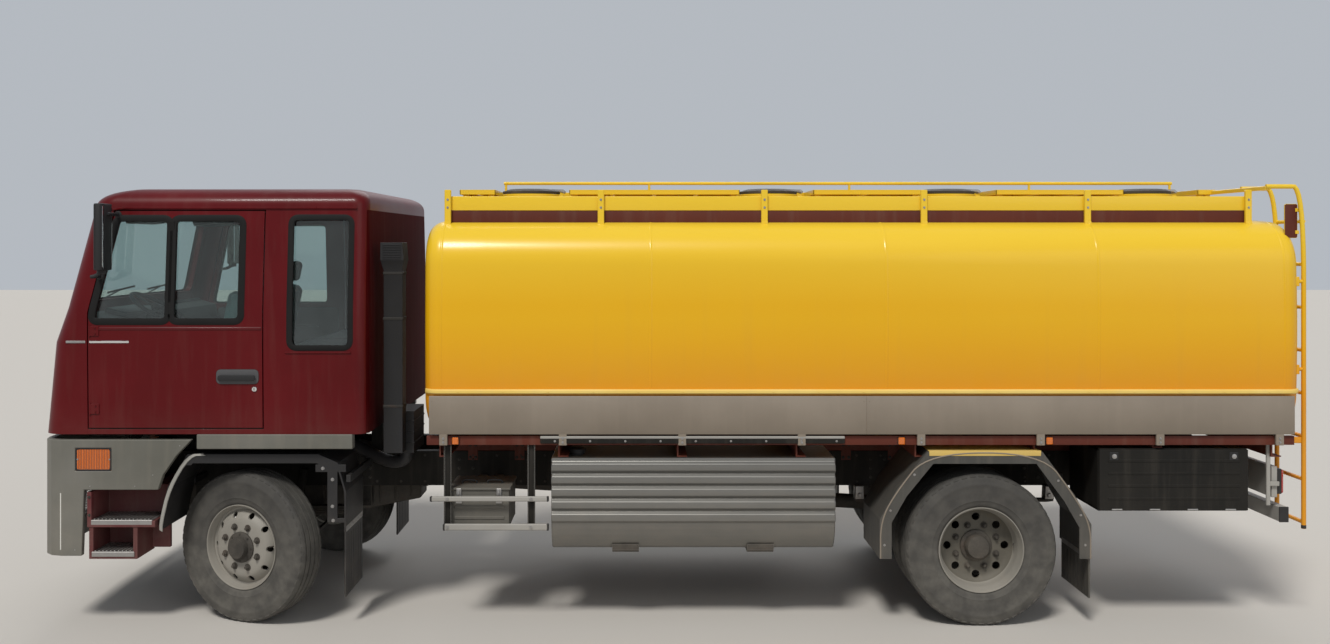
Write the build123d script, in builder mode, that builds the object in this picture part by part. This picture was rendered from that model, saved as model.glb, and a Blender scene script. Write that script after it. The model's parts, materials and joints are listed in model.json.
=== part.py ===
import os
from math import cos, pi, radians, sin, tan

from build123d import *

os.makedirs("parts", exist_ok=True)

# Driving dimensions in millimetres. The truck faces -X, its left side is -Y and the ground is Z = 0.
front_end = -4275
rear_end = 4275
half_width = 1225
wheel_radius = 509
front_axle_x = -2832
rear_axle_x = 2055

# Ladder frame and the tank's subframe
frame_front = -4060
frame_rear = 4130
rail_top = 1050
rail_height = 250
rail_outer = 425
rail_flange = 80
rail_web = 9
sill_top = 1190
bearer_top = 1285
bearer_count = 8
bearer_span = (-1545, 4038)
outer_rail_z = (1215, 1278)
outer_rail_y = (1168, 1200)

# Tank
tank_front = -1685
tank_rear = 4205
tank_half = 1203
tank_bottom = 1285
tank_top = 2742
tank_end_radius = 110
tank_lower_radius = 260
tank_upper_radius = 300
tank_side_bow = 12
tank_crown = 26
tank_side_z = 1980
skirt_z = (1290, 1545)
skirt_front = -1640
skirt_rear = 4135
moulding_z = (1558, 1590)
manhole_x = (-1060, 745, 2095, 3585)
collar_radius = 225
collar_top = 2935
lid_radius = 218
lid_thickness = 42
coaming_y = 950
coaming_z = (2790, 2888)
coaming_x = (-1565, 3955)
post_x = (-1550, -500, 622, 1716, 2838, 3940)
post_top = 2932
deck_z = (2925, 2962)
deck_half = 300
handrail_y = 335
handrail_top = 3050

# Cab
wall = 58
cab_bottom = 1290
cab_rear = -2055
cantrail_z = 2790
belt_z = 2100
door_front = -3920
door_rear = -2744
door_sill = 1325
door_gap = 8
glass_in = 24
glass_thickness = 6
tilt_pivot = (-4130, 860)

# Wheels
tyre_half = 124
bead_half = 102
rim_radius = 286
lip_half = 112
kingpin_y = 850
kingpin_offset = 160
twin_centre_y = 920
twin_spacing = 310
rest_steer = -22
tie_rod_lever = 180
tie_rod_z = 400

# Front bumper
bumper_z = (480, 1255)
bumper_thickness = 46
bumper_bow = 45


def eased(points, radius):
    # An outline with each corner turned in two flat steps
    turned_points = []
    for before, here, after in zip(points[-1:] + points[:-1], points, points[1:] + points[:1]):
        corner = Vector(*here)
        back = (Vector(*before) - corner).normalized()
        onward = (Vector(*after) - corner).normalized()
        half_angle = radians(back.get_angle(onward) / 2)
        inward = (back + onward).normalized()
        centre = corner + inward * (radius / sin(half_angle))
        for point in (corner + back * (radius / tan(half_angle)), centre - inward * radius,
                      corner + onward * (radius / tan(half_angle))):
            turned_points.append((point.X, point.Y))
    return turned_points


def side_prism(points, corner, near, far):
    # A prism across the truck: an outline in X and Z, from Y = -near to Y = -far
    with BuildPart() as prism:
        with BuildSketch(Plane.XZ.offset(near)):
            with BuildLine():
                Polyline(*(eased(points, corner) if corner else points), close=True)
            make_face()
        extrude(amount=far - near)
    return prism.part


def mirrored_ring(points):
    # A closed ring of points from its left half, listed from one middle to the other
    right = [Vector(point.X, -point.Y, point.Z) for point in reversed(points) if point.Y != 0]
    return points + right


def ringed_solid(rings):
    # A solid through rings of points, flat between each pair of neighbours
    faces = [Face(Wire.make_polygon(rings[0])), Face(Wire.make_polygon(rings[-1]))]
    for ring, following in zip(rings, rings[1:]):
        for index, corner in enumerate(ring):
            after = (index + 1) % len(ring)
            faces.append(Face(Wire.make_polygon([corner, ring[after], following[after]])))
            faces.append(Face(Wire.make_polygon([corner, following[after], following[index]])))
    return Solid(Shell(faces))


def block(x, y, z):
    # A box from its low and high stations on each axis
    with BuildPart(mode=Mode.PRIVATE) as body:
        with Locations(((x[0] + x[1]) / 2, (y[0] + y[1]) / 2, (z[0] + z[1]) / 2)):
            Box(x[1] - x[0], y[1] - y[0], z[1] - z[0])
    return body.part


def both_sides(shape):
    # The left-hand piece with its mirror image on the right
    return [shape, shape.mirror(Plane.XZ)]


def plan_ring(z, front, rear, half, front_radius, rear_radius, bow):
    # A horizontal ring of the cab or bumper: bowed front, corners in flat steps and straight sides
    flat = half - front_radius
    points = []
    for share in (0.3, 0.7):
        points.append(Vector(front - bow * (1 - (share * flat / half) ** 2), share * flat, z))
    corner_x = front - bow * (1 - (flat / half) ** 2) + front_radius
    for bearing in (180, 150, 120, 90):
        points.append(Vector(corner_x + front_radius * cos(radians(bearing)),
                             flat + front_radius * sin(radians(bearing)), z))
    for bearing in (90, 45, 0):
        points.append(Vector(rear - rear_radius + rear_radius * cos(radians(bearing)),
                             half - rear_radius + rear_radius * sin(radians(bearing)), z))
    return mirrored_ring(points)


# Cab sections, bottom to roof: height, front face at the corners, rear face, half width
cab_sections = [
    (cab_bottom, -4228, cab_rear, 1212),
    (1900, -4165, cab_rear, 1225),
    (2130, -4085, cab_rear, 1222),
    (2830, -3919, cab_rear - 5, 1160),
    (2895, -3850, cab_rear - 30, 1120),
    (2933, -3700, cab_rear - 110, 1030),
]
cab_bow = 45
front_corner = 150
rear_corner = 90


def cab_volume(inset):
    # The cab's outer form, or the same form drawn in by a wall's depth
    rings = []
    for z, front, rear, half in cab_sections:
        level = z if z < cantrail_z else z - inset
        rings.append(plan_ring(level, front + inset, rear - inset, half - inset,
                               front_corner - inset, rear_corner - inset, cab_bow))
    return ringed_solid(rings)


cab_inside = cab_volume(wall)
with BuildPart() as cab_shell:
    add(cab_volume(0))
    add(cab_inside, mode=Mode.SUBTRACT)
with BuildPart() as glass_shell:
    add(cab_volume(glass_in))
    add(cab_volume(glass_in + glass_thickness), mode=Mode.SUBTRACT)

# The door opening leans back above the belt, along the windscreen pillar
pillar_top = -3762
door_outline = [(door_front, door_sill), (door_front, belt_z), (pillar_top, cantrail_z),
                (door_rear, cantrail_z), (door_rear, door_sill)]
door_leaf = [(door_front + door_gap, door_sill + door_gap), (door_front + door_gap, belt_z - 2),
             (pillar_top + door_gap + 1, cantrail_z - door_gap), (door_rear - door_gap, cantrail_z - door_gap),
             (door_rear - door_gap, door_sill + door_gap)]
door_window = [(-3884, 2053), (-3872, 2130), (-3736, 2722), (-2905, 2722), (-2905, 2053)]
quarter_window = [(-2565, 1873), (-2565, 2733), (-2172, 2733), (-2172, 1873)]
window_corner = 45
divider = [(-3392, 2040), (-3392, 2735), (-3352, 2735), (-3352, 2040)]
across = (0, 1400)

# Doors: each leaf is as thick as the cab wall, with its window cut and the upright between the panes
with BuildPart() as door_left:
    add(cab_shell.part)
    add(side_prism(door_leaf, 0, *across), mode=Mode.INTERSECT)
    add(side_prism(door_window, window_corner, *across), mode=Mode.SUBTRACT)
    with BuildPart(mode=Mode.PRIVATE) as upright:
        add(cab_shell.part)
        add(side_prism(divider, 0, *across), mode=Mode.INTERSECT)
    add(upright.part)
    add(block((-3045, -2795), (-1246, -1190), (1645, 1685)))
door_left.part.label = "door_left"

with BuildPart() as door_glass_left:
    add(glass_shell.part)
    add(side_prism(door_window, window_corner, *across), mode=Mode.INTERSECT)
    add(side_prism(divider, 0, *across), mode=Mode.SUBTRACT)
door_glass_left.part.label = "door_glass_left"

# Rear-view mirror on two arms from the door's front edge
mirror_z = (2387, 2827)
with BuildPart() as mirror_left:
    with BuildSketch(Plane.XY.offset(mirror_z[0])):
        with Locations((-3763, -1345)):
            Rectangle(62, 180)
    extrude(amount=mirror_z[1] - mirror_z[0])
    for arm_x, arm_z, skin_y in ((-3842, 2330, 1180), (-3735, 2744, 1145)):
        add(block((arm_x - 14, arm_x + 14), (-1345, -skin_y), (arm_z, arm_z + 28)))
    add(block((-3856, -3738), (-1359, -1331), (2330, 2400)))
    add(door_left.part, mode=Mode.SUBTRACT)
mirror_left.part.label = "mirror_left"

# Cab side behind the door, with the quarter window
quarter_outline = [(door_rear, cab_bottom), (door_rear, cantrail_z), (-2150, cantrail_z), (-2150, cab_bottom)]
with BuildPart() as quarter:
    add(cab_shell.part)
    add(side_prism(quarter_outline, 0, *across), mode=Mode.INTERSECT)
    add(side_prism(quarter_window, window_corner, *across), mode=Mode.SUBTRACT)
with BuildPart() as cab_sides:
    for piece in both_sides(quarter.part):
        add(piece)
cab_sides.part.label = "cab_sides"

with BuildPart() as cab_rear_wall:
    add(cab_shell.part)
    add(block((-2150, -1900), (-1400, 1400), (cab_bottom - 50, cantrail_z)), mode=Mode.INTERSECT)
cab_rear_wall.part.label = "cab_rear_wall"

with BuildPart() as cab_roof:
    add(cab_shell.part)
    add(block((-4500, -1900), (-1400, 1400), (cantrail_z, 3000)), mode=Mode.INTERSECT)
cab_roof.part.label = "cab_roof"

# Front panel with its pillars, the windscreen opening and a slatted grille below it
nose = [(-4500, cab_bottom), (door_front, cab_bottom), (door_front, belt_z), (pillar_top, cantrail_z),
        (-4500, cantrail_z)]
windscreen_half = ((2165, 1060), (2765, 1000))
grille_z = (1440, 1800)
grille_half = 720
grille_depth = 26
slat_count = 5
screen_bottom, screen_top = windscreen_half
screen_outline = [(-screen_bottom[1], screen_bottom[0]), (screen_bottom[1], screen_bottom[0]),
                  (screen_top[1], screen_top[0]), (-screen_top[1], screen_top[0])]
with BuildPart() as windscreen_cut:
    with BuildSketch(Plane.YZ.offset(-4500)):
        with BuildLine():
            Polyline(*eased(screen_outline, 60), close=True)
        make_face()
    extrude(amount=900)
with BuildPart() as cab_front:
    add(cab_shell.part)
    add(side_prism(nose, 0, -1400, 1400), mode=Mode.INTERSECT)
    add(windscreen_cut.part, mode=Mode.SUBTRACT)
    with BuildPart(mode=Mode.PRIVATE) as grille_recess:
        add(cab_volume(-60))
        add(cab_volume(grille_depth), mode=Mode.SUBTRACT)
        add(block((-4500, -4000), (-grille_half, grille_half), grille_z), mode=Mode.INTERSECT)
        slat_pitch = (grille_z[1] - grille_z[0]) / slat_count
        for slat in range(1, slat_count):
            slat_z = grille_z[0] + slat * slat_pitch
            add(block((-4500, -4000), (-grille_half, grille_half), (slat_z - 14, slat_z + 14)), mode=Mode.SUBTRACT)
    add(grille_recess.part, mode=Mode.SUBTRACT)
cab_front.part.label = "cab_front"

with BuildPart() as quarter_glass:
    add(glass_shell.part)
    add(side_prism(quarter_window, window_corner, *across), mode=Mode.INTERSECT)
with BuildPart() as cab_glass:
    add(glass_shell.part)
    add(windscreen_cut.part, mode=Mode.INTERSECT)
    for piece in both_sides(quarter_glass.part):
        add(piece)
cab_glass.part.label = "cab_glass"

# Floor pan with the engine tunnel, and the rockers under the doors
floor_top = 1325
tunnel_half = 400
tunnel_top = 1500
tunnel_rear = -2420
rocker = [(door_front, cab_bottom), (door_front, door_sill), (door_rear, door_sill), (door_rear, cab_bottom)]
hinge_pin = 22
arm_y = (rail_outer + 8, rail_outer + 48)
arm_front = tilt_pivot[0] + 235
arm_rear = tilt_pivot[0] + 285
arm_outline = [(tilt_pivot[0] - 42, tilt_pivot[1] - 22), (tilt_pivot[0] - 20, tilt_pivot[1] - 42),
               (tilt_pivot[0] + 34, tilt_pivot[1] - 30), (arm_rear, 1180), (arm_rear, cab_bottom + 10),
               (arm_front, cab_bottom + 10), (arm_front, 1205), (tilt_pivot[0] - 38, tilt_pivot[1] + 24)]
with BuildPart() as hinge_arm:
    add(side_prism(arm_outline, 0, *arm_y))
    with BuildSketch(Plane.XZ.offset(arm_y[0])):
        with Locations(tilt_pivot):
            Circle(hinge_pin + 0.05)
    extrude(amount=arm_y[1] - arm_y[0], mode=Mode.SUBTRACT)
with BuildPart() as cab_floor:
    add(cab_inside)
    add(block((-4400, -1900), (-1400, 1400), (cab_bottom - 50, floor_top)), mode=Mode.INTERSECT)
    with BuildPart(mode=Mode.PRIVATE) as tunnel:
        add(cab_inside)
        add(block((-4400, tunnel_rear), (-tunnel_half, tunnel_half), (cab_bottom - 50, tunnel_top)),
            mode=Mode.INTERSECT)
    add(tunnel.part)
    add(block((-4100, tunnel_rear - 25), (25 - tunnel_half, tunnel_half - 25), (cab_bottom - 60, tunnel_top - 25)),
        mode=Mode.SUBTRACT)
    with BuildPart(mode=Mode.PRIVATE) as rockers:
        add(cab_shell.part)
        add(side_prism(rocker, 0, -1400, 1400), mode=Mode.INTERSECT)
    add(rockers.part)
    for arm in both_sides(hinge_arm.part):
        add(arm)
cab_floor.part.label = "cab_floor"

# Grey sill strips along the cab's lower edge, above the front wheels
with BuildPart() as cab_sills:
    for strip in both_sides(block((-3190, -2150), (-1222, -1150), (1192, cab_bottom))):
        add(strip)
cab_sills.part.label = "cab_sills"

# Instrument panel across the cab, and the steering wheel on its column
panel_outline = [(-4300, 1640), (-3850, 1640), (-3800, 1860), (-3840, 2050), (-3960, 2085), (-4300, 2085)]
with BuildPart() as dashboard:
    add(cab_inside)
    add(side_prism(panel_outline, 0, -1120, 1120), mode=Mode.INTERSECT)
dashboard.part.label = "dashboard"

column_y = -560
column_tilt = 32
wheel_centre = Vector(-3690, column_y, 2090)
column_axis = Vector(-sin(radians(column_tilt)), 0, -cos(radians(column_tilt)))
column_plane = Plane(origin=wheel_centre, x_dir=(0, 1, 0), z_dir=column_axis)
with BuildPart() as steering_wheel:
    with BuildSketch(column_plane.offset(-14)):
        RegularPolygon(230, 16)
        RegularPolygon(198, 16, mode=Mode.SUBTRACT)
        Rectangle(420, 34)
        with Locations((0, -100)):
            Rectangle(34, 200)
        RegularPolygon(60, 8)
    extrude(amount=28)
    with BuildSketch(column_plane):
        Rectangle(70, 70)
    extrude(amount=330)
    add(dashboard.part, mode=Mode.SUBTRACT)
steering_wheel.part.label = "steering_wheel"

# Seats: height-of-cushion table for the driver's, the passenger's and the bunk behind them
seat_half = 255
back_tilt = 12
with BuildPart() as seats:
    for seat_y in (column_y, -column_y):
        add(block((-3560, -3160), (seat_y - 150, seat_y + 150), (floor_top, 1640)))
        add(block((-3640, -3120), (seat_y - seat_half, seat_y + seat_half), (1640, 1790)))
        with BuildPart(mode=Mode.PRIVATE) as backrest:
            back_plane = Plane(origin=(-3170, seat_y, 1700), x_dir=(0, 1, 0),
                               z_dir=(sin(radians(back_tilt)), 0, cos(radians(back_tilt))))
            with BuildSketch(back_plane):
                Rectangle(2 * seat_half - 20, 130)
            extrude(amount=560)
            with BuildSketch(back_plane.offset(560)):
                Rectangle(280, 100)
            extrude(amount=190)
        add(backrest.part)
    add(block((-2780, -2125), (-1080, 1080), (floor_top, 1700)))
    add(block((-2800, tunnel_rear), (-tunnel_half, tunnel_half), (floor_top, tunnel_top)), mode=Mode.SUBTRACT)
    add(block((-2790, -2120), (-1100, 1100), (1700, 1840)))
seats.part.label = "seats"

# Ladder frame: two channel rails and their cross members
member_x = (-3980, -2250, -1500, -300, 900, 1500, 2620, 3500, 4090)
with BuildPart() as rail:
    with BuildSketch(Plane.YZ.offset(frame_front)):
        with Locations((-rail_outer + rail_flange / 2, rail_top - rail_height / 2)):
            Rectangle(rail_flange, rail_height)
            with Locations((rail_web, 0)):
                Rectangle(rail_flange, rail_height - 2 * rail_web, mode=Mode.SUBTRACT)
    extrude(amount=frame_rear - frame_front)
with BuildPart() as chassis_frame:
    for piece in both_sides(rail.part):
        add(piece)
    for x in member_x:
        add(block((x - 40, x + 40), (-rail_outer + rail_web, rail_outer - rail_web), (rail_top - 170, rail_top - 30)))
    for rest in both_sides(block((-2190, -2110), (-rail_outer, -rail_outer + rail_flange), (rail_top, cab_bottom))):
        add(rest)
    with BuildPart(mode=Mode.PRIVATE) as horn:
        add(block((tilt_pivot[0] - 38, frame_front), (-rail_outer, -rail_outer + rail_flange), (820, 1000)))
        with BuildSketch(Plane.XZ.offset(rail_outer)):
            with Locations(tilt_pivot):
                Circle(hinge_pin)
        extrude(amount=arm_y[1] + 4 - rail_outer)
    for piece in both_sides(horn.part):
        add(piece)
chassis_frame.part.label = "chassis_frame"

# Subframe: sills on the rails, cross bearers and an outer rail along each side under the tank
bearer_pitch = (bearer_span[1] - bearer_span[0]) / (bearer_count - 1)
with BuildPart() as tank_subframe:
    for sill in both_sides(block((tank_front, frame_rear), (-rail_outer, -rail_outer + rail_flange),
                                 (rail_top, sill_top))):
        add(sill)
    for index in range(bearer_count):
        x = bearer_span[0] + index * bearer_pitch
        add(block((x - 35, x + 35), (-outer_rail_y[0], outer_rail_y[0]), (sill_top, bearer_top)))
    for side_rail in both_sides(block((tank_front + 25, tank_rear - 60), (-outer_rail_y[1], -outer_rail_y[0]),
                                      outer_rail_z)):
        add(side_rail)
tank_subframe.part.label = "tank_subframe"

# Tank: a rounded box section with slightly bowed sides, a crowned top and turned-in ends


def tank_ring(x, inset):
    # The tank's ring at one station, drawn in where the ends turn in
    half = tank_half - tank_side_bow - inset
    lower = tank_lower_radius - inset
    upper = tank_upper_radius - inset
    top = tank_top - inset
    shoulder = top - tank_crown - upper
    points = []
    for bearing in (-90, -72, -54, -36, -18, 0):
        points.append(Vector(x, half - lower + lower * cos(radians(bearing)),
                             tank_bottom + inset + lower + lower * sin(radians(bearing))))
    points.append(Vector(x, half + tank_side_bow, tank_side_z))
    for bearing in (0, 22, 44, 66, 88):
        points.append(Vector(x, half - upper + upper * cos(radians(bearing)),
                             shoulder + upper * sin(radians(bearing))))
    points.append(Vector(x, (half - upper) / 2, top - tank_crown / 4))
    points.append(Vector(x, 0, top))
    return mirrored_ring(points)


end_turns = []
for bearing in (90, 60, 30, 0):
    end_turns.append((tank_end_radius * (1 - sin(radians(bearing))), tank_end_radius * (1 - cos(radians(bearing)))))
with BuildPart() as tank_shell:
    front_rings = [tank_ring(tank_front + depth, inset) for depth, inset in end_turns]
    rear_rings = [tank_ring(tank_rear - depth, inset) for depth, inset in reversed(end_turns)]
    add(ringed_solid(front_rings + rear_rings))
    for strip in both_sides(block((tank_front + 115, tank_rear - 115), (-1221, -1150), moulding_z)):
        add(strip)
tank_shell.part.label = "tank_shell"

with BuildPart() as tank_skirts:
    for panel in both_sides(block((skirt_front, skirt_rear), (-half_width, -half_width + 18), skirt_z)):
        add(panel)
    for index in range(bearer_count):
        x = bearer_span[0] + index * bearer_pitch
        stay_z = (outer_rail_z[0], skirt_z[0] + 60)
        for stay in both_sides(block((x - 30, x + 30), (-half_width + 18, -outer_rail_y[1]), stay_z)):
            add(stay)
tank_skirts.part.label = "tank_skirts"

# Manhole collars, and one hinged lid on each
lid_hinge_x = 250
ring_sides = 16
with BuildPart() as manhole_collars:
    for x in manhole_x:
        with BuildSketch(Plane.XY.offset(tank_top - 30)):
            with Locations((x, 0)):
                RegularPolygon(collar_radius, ring_sides)
        extrude(amount=collar_top - tank_top + 30)
        add(block((x + 200, x + lid_hinge_x), (-70, 70), (collar_top - 60, collar_top)))
    add(tank_shell.part, mode=Mode.SUBTRACT)
    for x in manhole_x:
        with BuildSketch(Plane.XY.offset(collar_top - 40)):
            with Locations((x, 0)):
                RegularPolygon(collar_radius - 25, ring_sides)
        extrude(amount=50, mode=Mode.SUBTRACT)
manhole_collars.part.label = "manhole_collars"

lids = []
for number, x in enumerate(manhole_x, 1):
    with BuildPart() as lid:
        with BuildSketch(Plane.XY.offset(collar_top)):
            with Locations((x, 0)):
                RegularPolygon(lid_radius, ring_sides)
                with Locations((lid_hinge_x - 40, 0)):
                    Rectangle(80, 110)
        extrude(amount=lid_thickness)
    lid.part.label = f"lid_{number}"
    lids.append(lid)

# Walkway deck, open from the left at each manhole for the lid's swing, on legs at both ends of each length
deck_front = coaming_x[0]
deck_rear = 4022
lid_bay = (-240, 305)
strip_y = 240
leg_inset = 40
with BuildPart() as walkway:
    add(block((deck_front, deck_rear), (-deck_half, deck_half), deck_z))
    for x in manhole_x:
        add(block((x + lid_bay[0], x + lid_bay[1]), (-deck_half, strip_y), (deck_z[0] - 10, deck_z[1] + 10)),
            mode=Mode.SUBTRACT)
    leg_x = [deck_front + leg_inset, deck_rear - leg_inset]
    for before, after in zip(manhole_x, manhole_x[1:]):
        leg_x += [before + lid_bay[1] + leg_inset, after + lid_bay[0] - leg_inset]
    for x in leg_x:
        for leg in both_sides(block((x - 25, x + 25), (-260, -220), (tank_top - 60, deck_z[0]))):
            add(leg)
    add(tank_shell.part, mode=Mode.SUBTRACT)
walkway.part.label = "walkway"

# Side coaming boards on their posts, and one thin handrail along the right edge of the walkway
with BuildPart() as coaming:
    add(block(coaming_x, (-coaming_y - 14, -coaming_y), coaming_z))
    for x in post_x:
        add(block((x - 22, x + 22), (-coaming_y - 40, -coaming_y - 14), (2560, post_top)))
    add(tank_shell.part, mode=Mode.SUBTRACT)
with BuildPart() as top_rails:
    for piece in both_sides(coaming.part):
        add(piece)
    add(block((-1300, 3960), (handrail_y, handrail_y + 22), (handrail_top - 26, handrail_top)))
    for x in (-1290, -160, 1420, 2840, 3950):
        add(block((x - 10, x + 10), (deck_half, handrail_y + 22), (deck_z[0], deck_z[0] + 20)))
        add(block((x - 10, x + 10), (handrail_y, handrail_y + 22), (deck_z[0], handrail_top)))
top_rails.part.label = "top_rails"

# Drip boards that close the gap between the tank and each coaming board
with BuildPart() as drip_boards:
    for board in both_sides(block(coaming_x, (-coaming_y - 10, -coaming_y - 4), (tank_top - 60, coaming_z[0]))):
        add(board)
    add(tank_shell.part, mode=Mode.SUBTRACT)
drip_boards.part.label = "drip_boards"

# Ladder at the left rear corner, its rails turned in over the tank to the walkway
ladder_y = (-1120, -760)
ladder_x = (4219, rear_end)
ladder_bottom = 640
ladder_top = 2965
rung_pitch = 290
with BuildPart() as rear_ladder:
    for y in ladder_y:
        add(block(ladder_x, (y - 16, y + 16), (ladder_bottom, ladder_top)))
        add(block((3990, ladder_x[1]), (y - 16, y + 16), (deck_z[0], ladder_top)))
    add(block((3990, deck_rear), (ladder_y[0], -deck_half), (deck_z[0], deck_z[0] + 28)))
    for index in range(8):
        z = ladder_bottom + 30 + index * rung_pitch
        add(block((4229, 4265), (ladder_y[0], ladder_y[1]), (z, z + 26)))
    for y in ladder_y:
        for z in (1700, 2292):
            add(block((tank_rear - 90, ladder_x[0]), (y - 16, y + 16), (z, z + 32)))
    add(block((frame_rear - 60, ladder_x[0]), (-1120, -1080), (1215, 1255)))
    add(tank_shell.part, mode=Mode.SUBTRACT)
    add(tank_subframe.part, mode=Mode.SUBTRACT)
rear_ladder.part.label = "rear_ladder"

# Rear underrun bar on two drop brackets, with the tail lamps above its ends
with BuildPart() as rear_bumper:
    add(block((4070, 4130), (-1150, 1150), (690, 790)))
    for y in (-385, 385):
        add(block((4070, 4130), (y - 35, y + 35), (790, 800)))
    for bracket in both_sides(block((4030, 4070), (-1120, -700), (850, 1060))):
        add(bracket)
    for stay in both_sides(block((4030, 4070), (-700, -rail_outer), (900, 960))):
        add(stay)
rear_bumper.part.label = "rear_bumper"

with BuildPart() as rear_lamps:
    for lamp in both_sides(block((4070, 4120), (-1110, -720), (870, 1040))):
        add(lamp)
    for x in (-1465, 1515, 2502):
        for lamp in both_sides(block((x - 25, x + 25), (-1222, -1200), (1218, 1272))):
            add(lamp)
rear_lamps.part.label = "rear_lamps"

# Rear mudguards: a folded sheet over each twin wheel with a deep outer lip, and a flap behind
guard_outline = [(1368, 300), (1368, 720), (1482, 920), (1688, 1173), (2455, 1173), (2668, 887), (2782, 687),
                 (2782, 300)]
guard_bottom = 458
guard_lip = 80
guard_sheet = 12


def folded_sheet(points, depth, near, far, bottom):
    # A sheet that follows an outline in X and Z, open below, from Y = -near to Y = -far
    with BuildPart() as sheet:
        with BuildSketch(Plane.XZ.offset(near)):
            with BuildLine():
                Polyline(*points, close=True)
            make_face()
            offset(amount=-depth, mode=Mode.SUBTRACT)
        extrude(amount=far - near)
        add(block((-4500, 4500), (-1400, 1400), (0, bottom)), mode=Mode.SUBTRACT)
    return sheet.part


with BuildPart() as guard_left:
    add(folded_sheet(guard_outline, guard_sheet, 600, 1215, guard_bottom))
    add(folded_sheet(guard_outline, guard_lip, 1203, 1215, guard_bottom))
    add(block((1990, 2110), (-602, -rail_outer), (1135, 1173)))
    add(block((2770, 2782), (-1190, -640), (190, guard_bottom + 20)))
    add(block((2700, 2760), (-640, -rail_outer), (880, 920)))
    add(block((2700, 2782), (-640, -600), (800, 920)))
with BuildPart() as rear_mudguards:
    for piece in both_sides(guard_left.part):
        add(piece)
rear_mudguards.part.label = "rear_mudguards"

# Front mudguards under the cab, each with a grey bracket and a flap behind the wheel
arch_outline = [(-3456, 300), (-3456, 700), (-3402, 930), (-3270, 1150), (-2390, 1150), (-2260, 1090),
                (-2205, 900), (-2205, 300)]
arch_bottom = 640
with BuildPart() as arch_left:
    add(folded_sheet(arch_outline, 12, 640, 1172, arch_bottom))
    add(folded_sheet(arch_outline, 62, 1160, 1172, 1075))
    add(block((-2217, -2205), (-1165, -660), (190, arch_bottom + 20)))
    add(block((-2410, -2205), (-1172, -1160), (1030, 1080)))
    add(block((-2330, -2262), (-1172, -1160), (690, 1040)))
    add(block((-2330, -2205), (-1172, -1160), (690, 720)))
    add(block((-2205, -2175), (-1165, -rail_outer), (960, 1010)))
    add(block((-3430, -3390), (-660, -rail_outer), (860, 900)))
with BuildPart() as front_mudguards:
    for piece in both_sides(arch_left.part):
        add(piece)
front_mudguards.part.label = "front_mudguards"

# Cab steps between the bumper and the front wheel: a tread, and a closed riser with a lower tread
with BuildPart() as step_left:
    add(block((-3925, -3470), (-1212, -900), (668, 712)))
    add(block((-3925, -3895), (-1212, -900), (700, 905)))
    add(block((-3925, -3470), (-930, -900), (470, 905)))
    add(block((-3915, -3590), (-1205, -900), (455, 500)))
    add(block((-3915, -3885), (-1205, -900), (490, 680)))
    add(block((-3620, -3590), (-1205, -900), (490, 680)))
    add(block((-3700, -3620), (-900, -rail_outer), (840, 890)))
with BuildPart() as step_boxes:
    for piece in both_sides(step_left.part):
        add(piece)
step_boxes.part.label = "step_boxes"

# Front bumper: one wrapped panel, tall at the corners, with lamp openings and an air slot
bumper_side = [(-4500, 480), (-3955, 480), (-3940, 920), (-3446, 920), (-3412, 1020), (-3322, 1150), (-3222, 1255),
               (-4500, 1255)]
headlamp = ((-1010, -640), (960, 1150))
corner_lamp = ((-3998, -3758), (1046, 1200))
bumper_front = front_end + bumper_bow


def bumper_ring(inset, depth):
    # The bumper's wall between two plan outlines
    with BuildPart() as ring:
        for drawn_in, mode in ((inset, Mode.ADD), (inset + depth, Mode.SUBTRACT)):
            rings = [plan_ring(z, bumper_front + drawn_in, -3000, half_width - drawn_in,
                               front_corner - drawn_in, 10, bumper_bow) for z in bumper_z]
            add(ringed_solid(rings), mode=mode)
    return ring.part


with BuildPart() as front_bumper:
    add(bumper_ring(0, bumper_thickness))
    add(side_prism(bumper_side, 0, -1400, 1400), mode=Mode.INTERSECT)
    add(block((-4500, -3700), (-620, 620), (620, 800)), mode=Mode.SUBTRACT)
    for cut in both_sides(block((-4500, -4000), headlamp[0], headlamp[1])):
        add(cut, mode=Mode.SUBTRACT)
    for cut in both_sides(block(corner_lamp[0], (-1400, -1100), corner_lamp[1])):
        add(cut, mode=Mode.SUBTRACT)
    for stay in both_sides(block((-4240, tilt_pivot[0] - 38), (-rail_outer, -rail_outer + rail_flange), (880, 960))):
        add(stay)
    for stay in both_sides(block((-3880, -3840), (-1182, -rail_outer), (940, 985))):
        add(stay)
front_bumper.part.label = "front_bumper"

with BuildPart() as front_lamps:
    with BuildPart(mode=Mode.PRIVATE) as lamp_bodies:
        add(bumper_ring(6, bumper_thickness - 6))
        with BuildPart(mode=Mode.PRIVATE) as lamp_places:
            for place in both_sides(block((-4500, -4000), headlamp[0], headlamp[1])):
                add(place)
            for place in both_sides(block(corner_lamp[0], (-1400, -1100), corner_lamp[1])):
                add(place)
        add(lamp_places.part, mode=Mode.INTERSECT)
    add(lamp_bodies.part)
front_lamps.part.label = "front_lamps"

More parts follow.
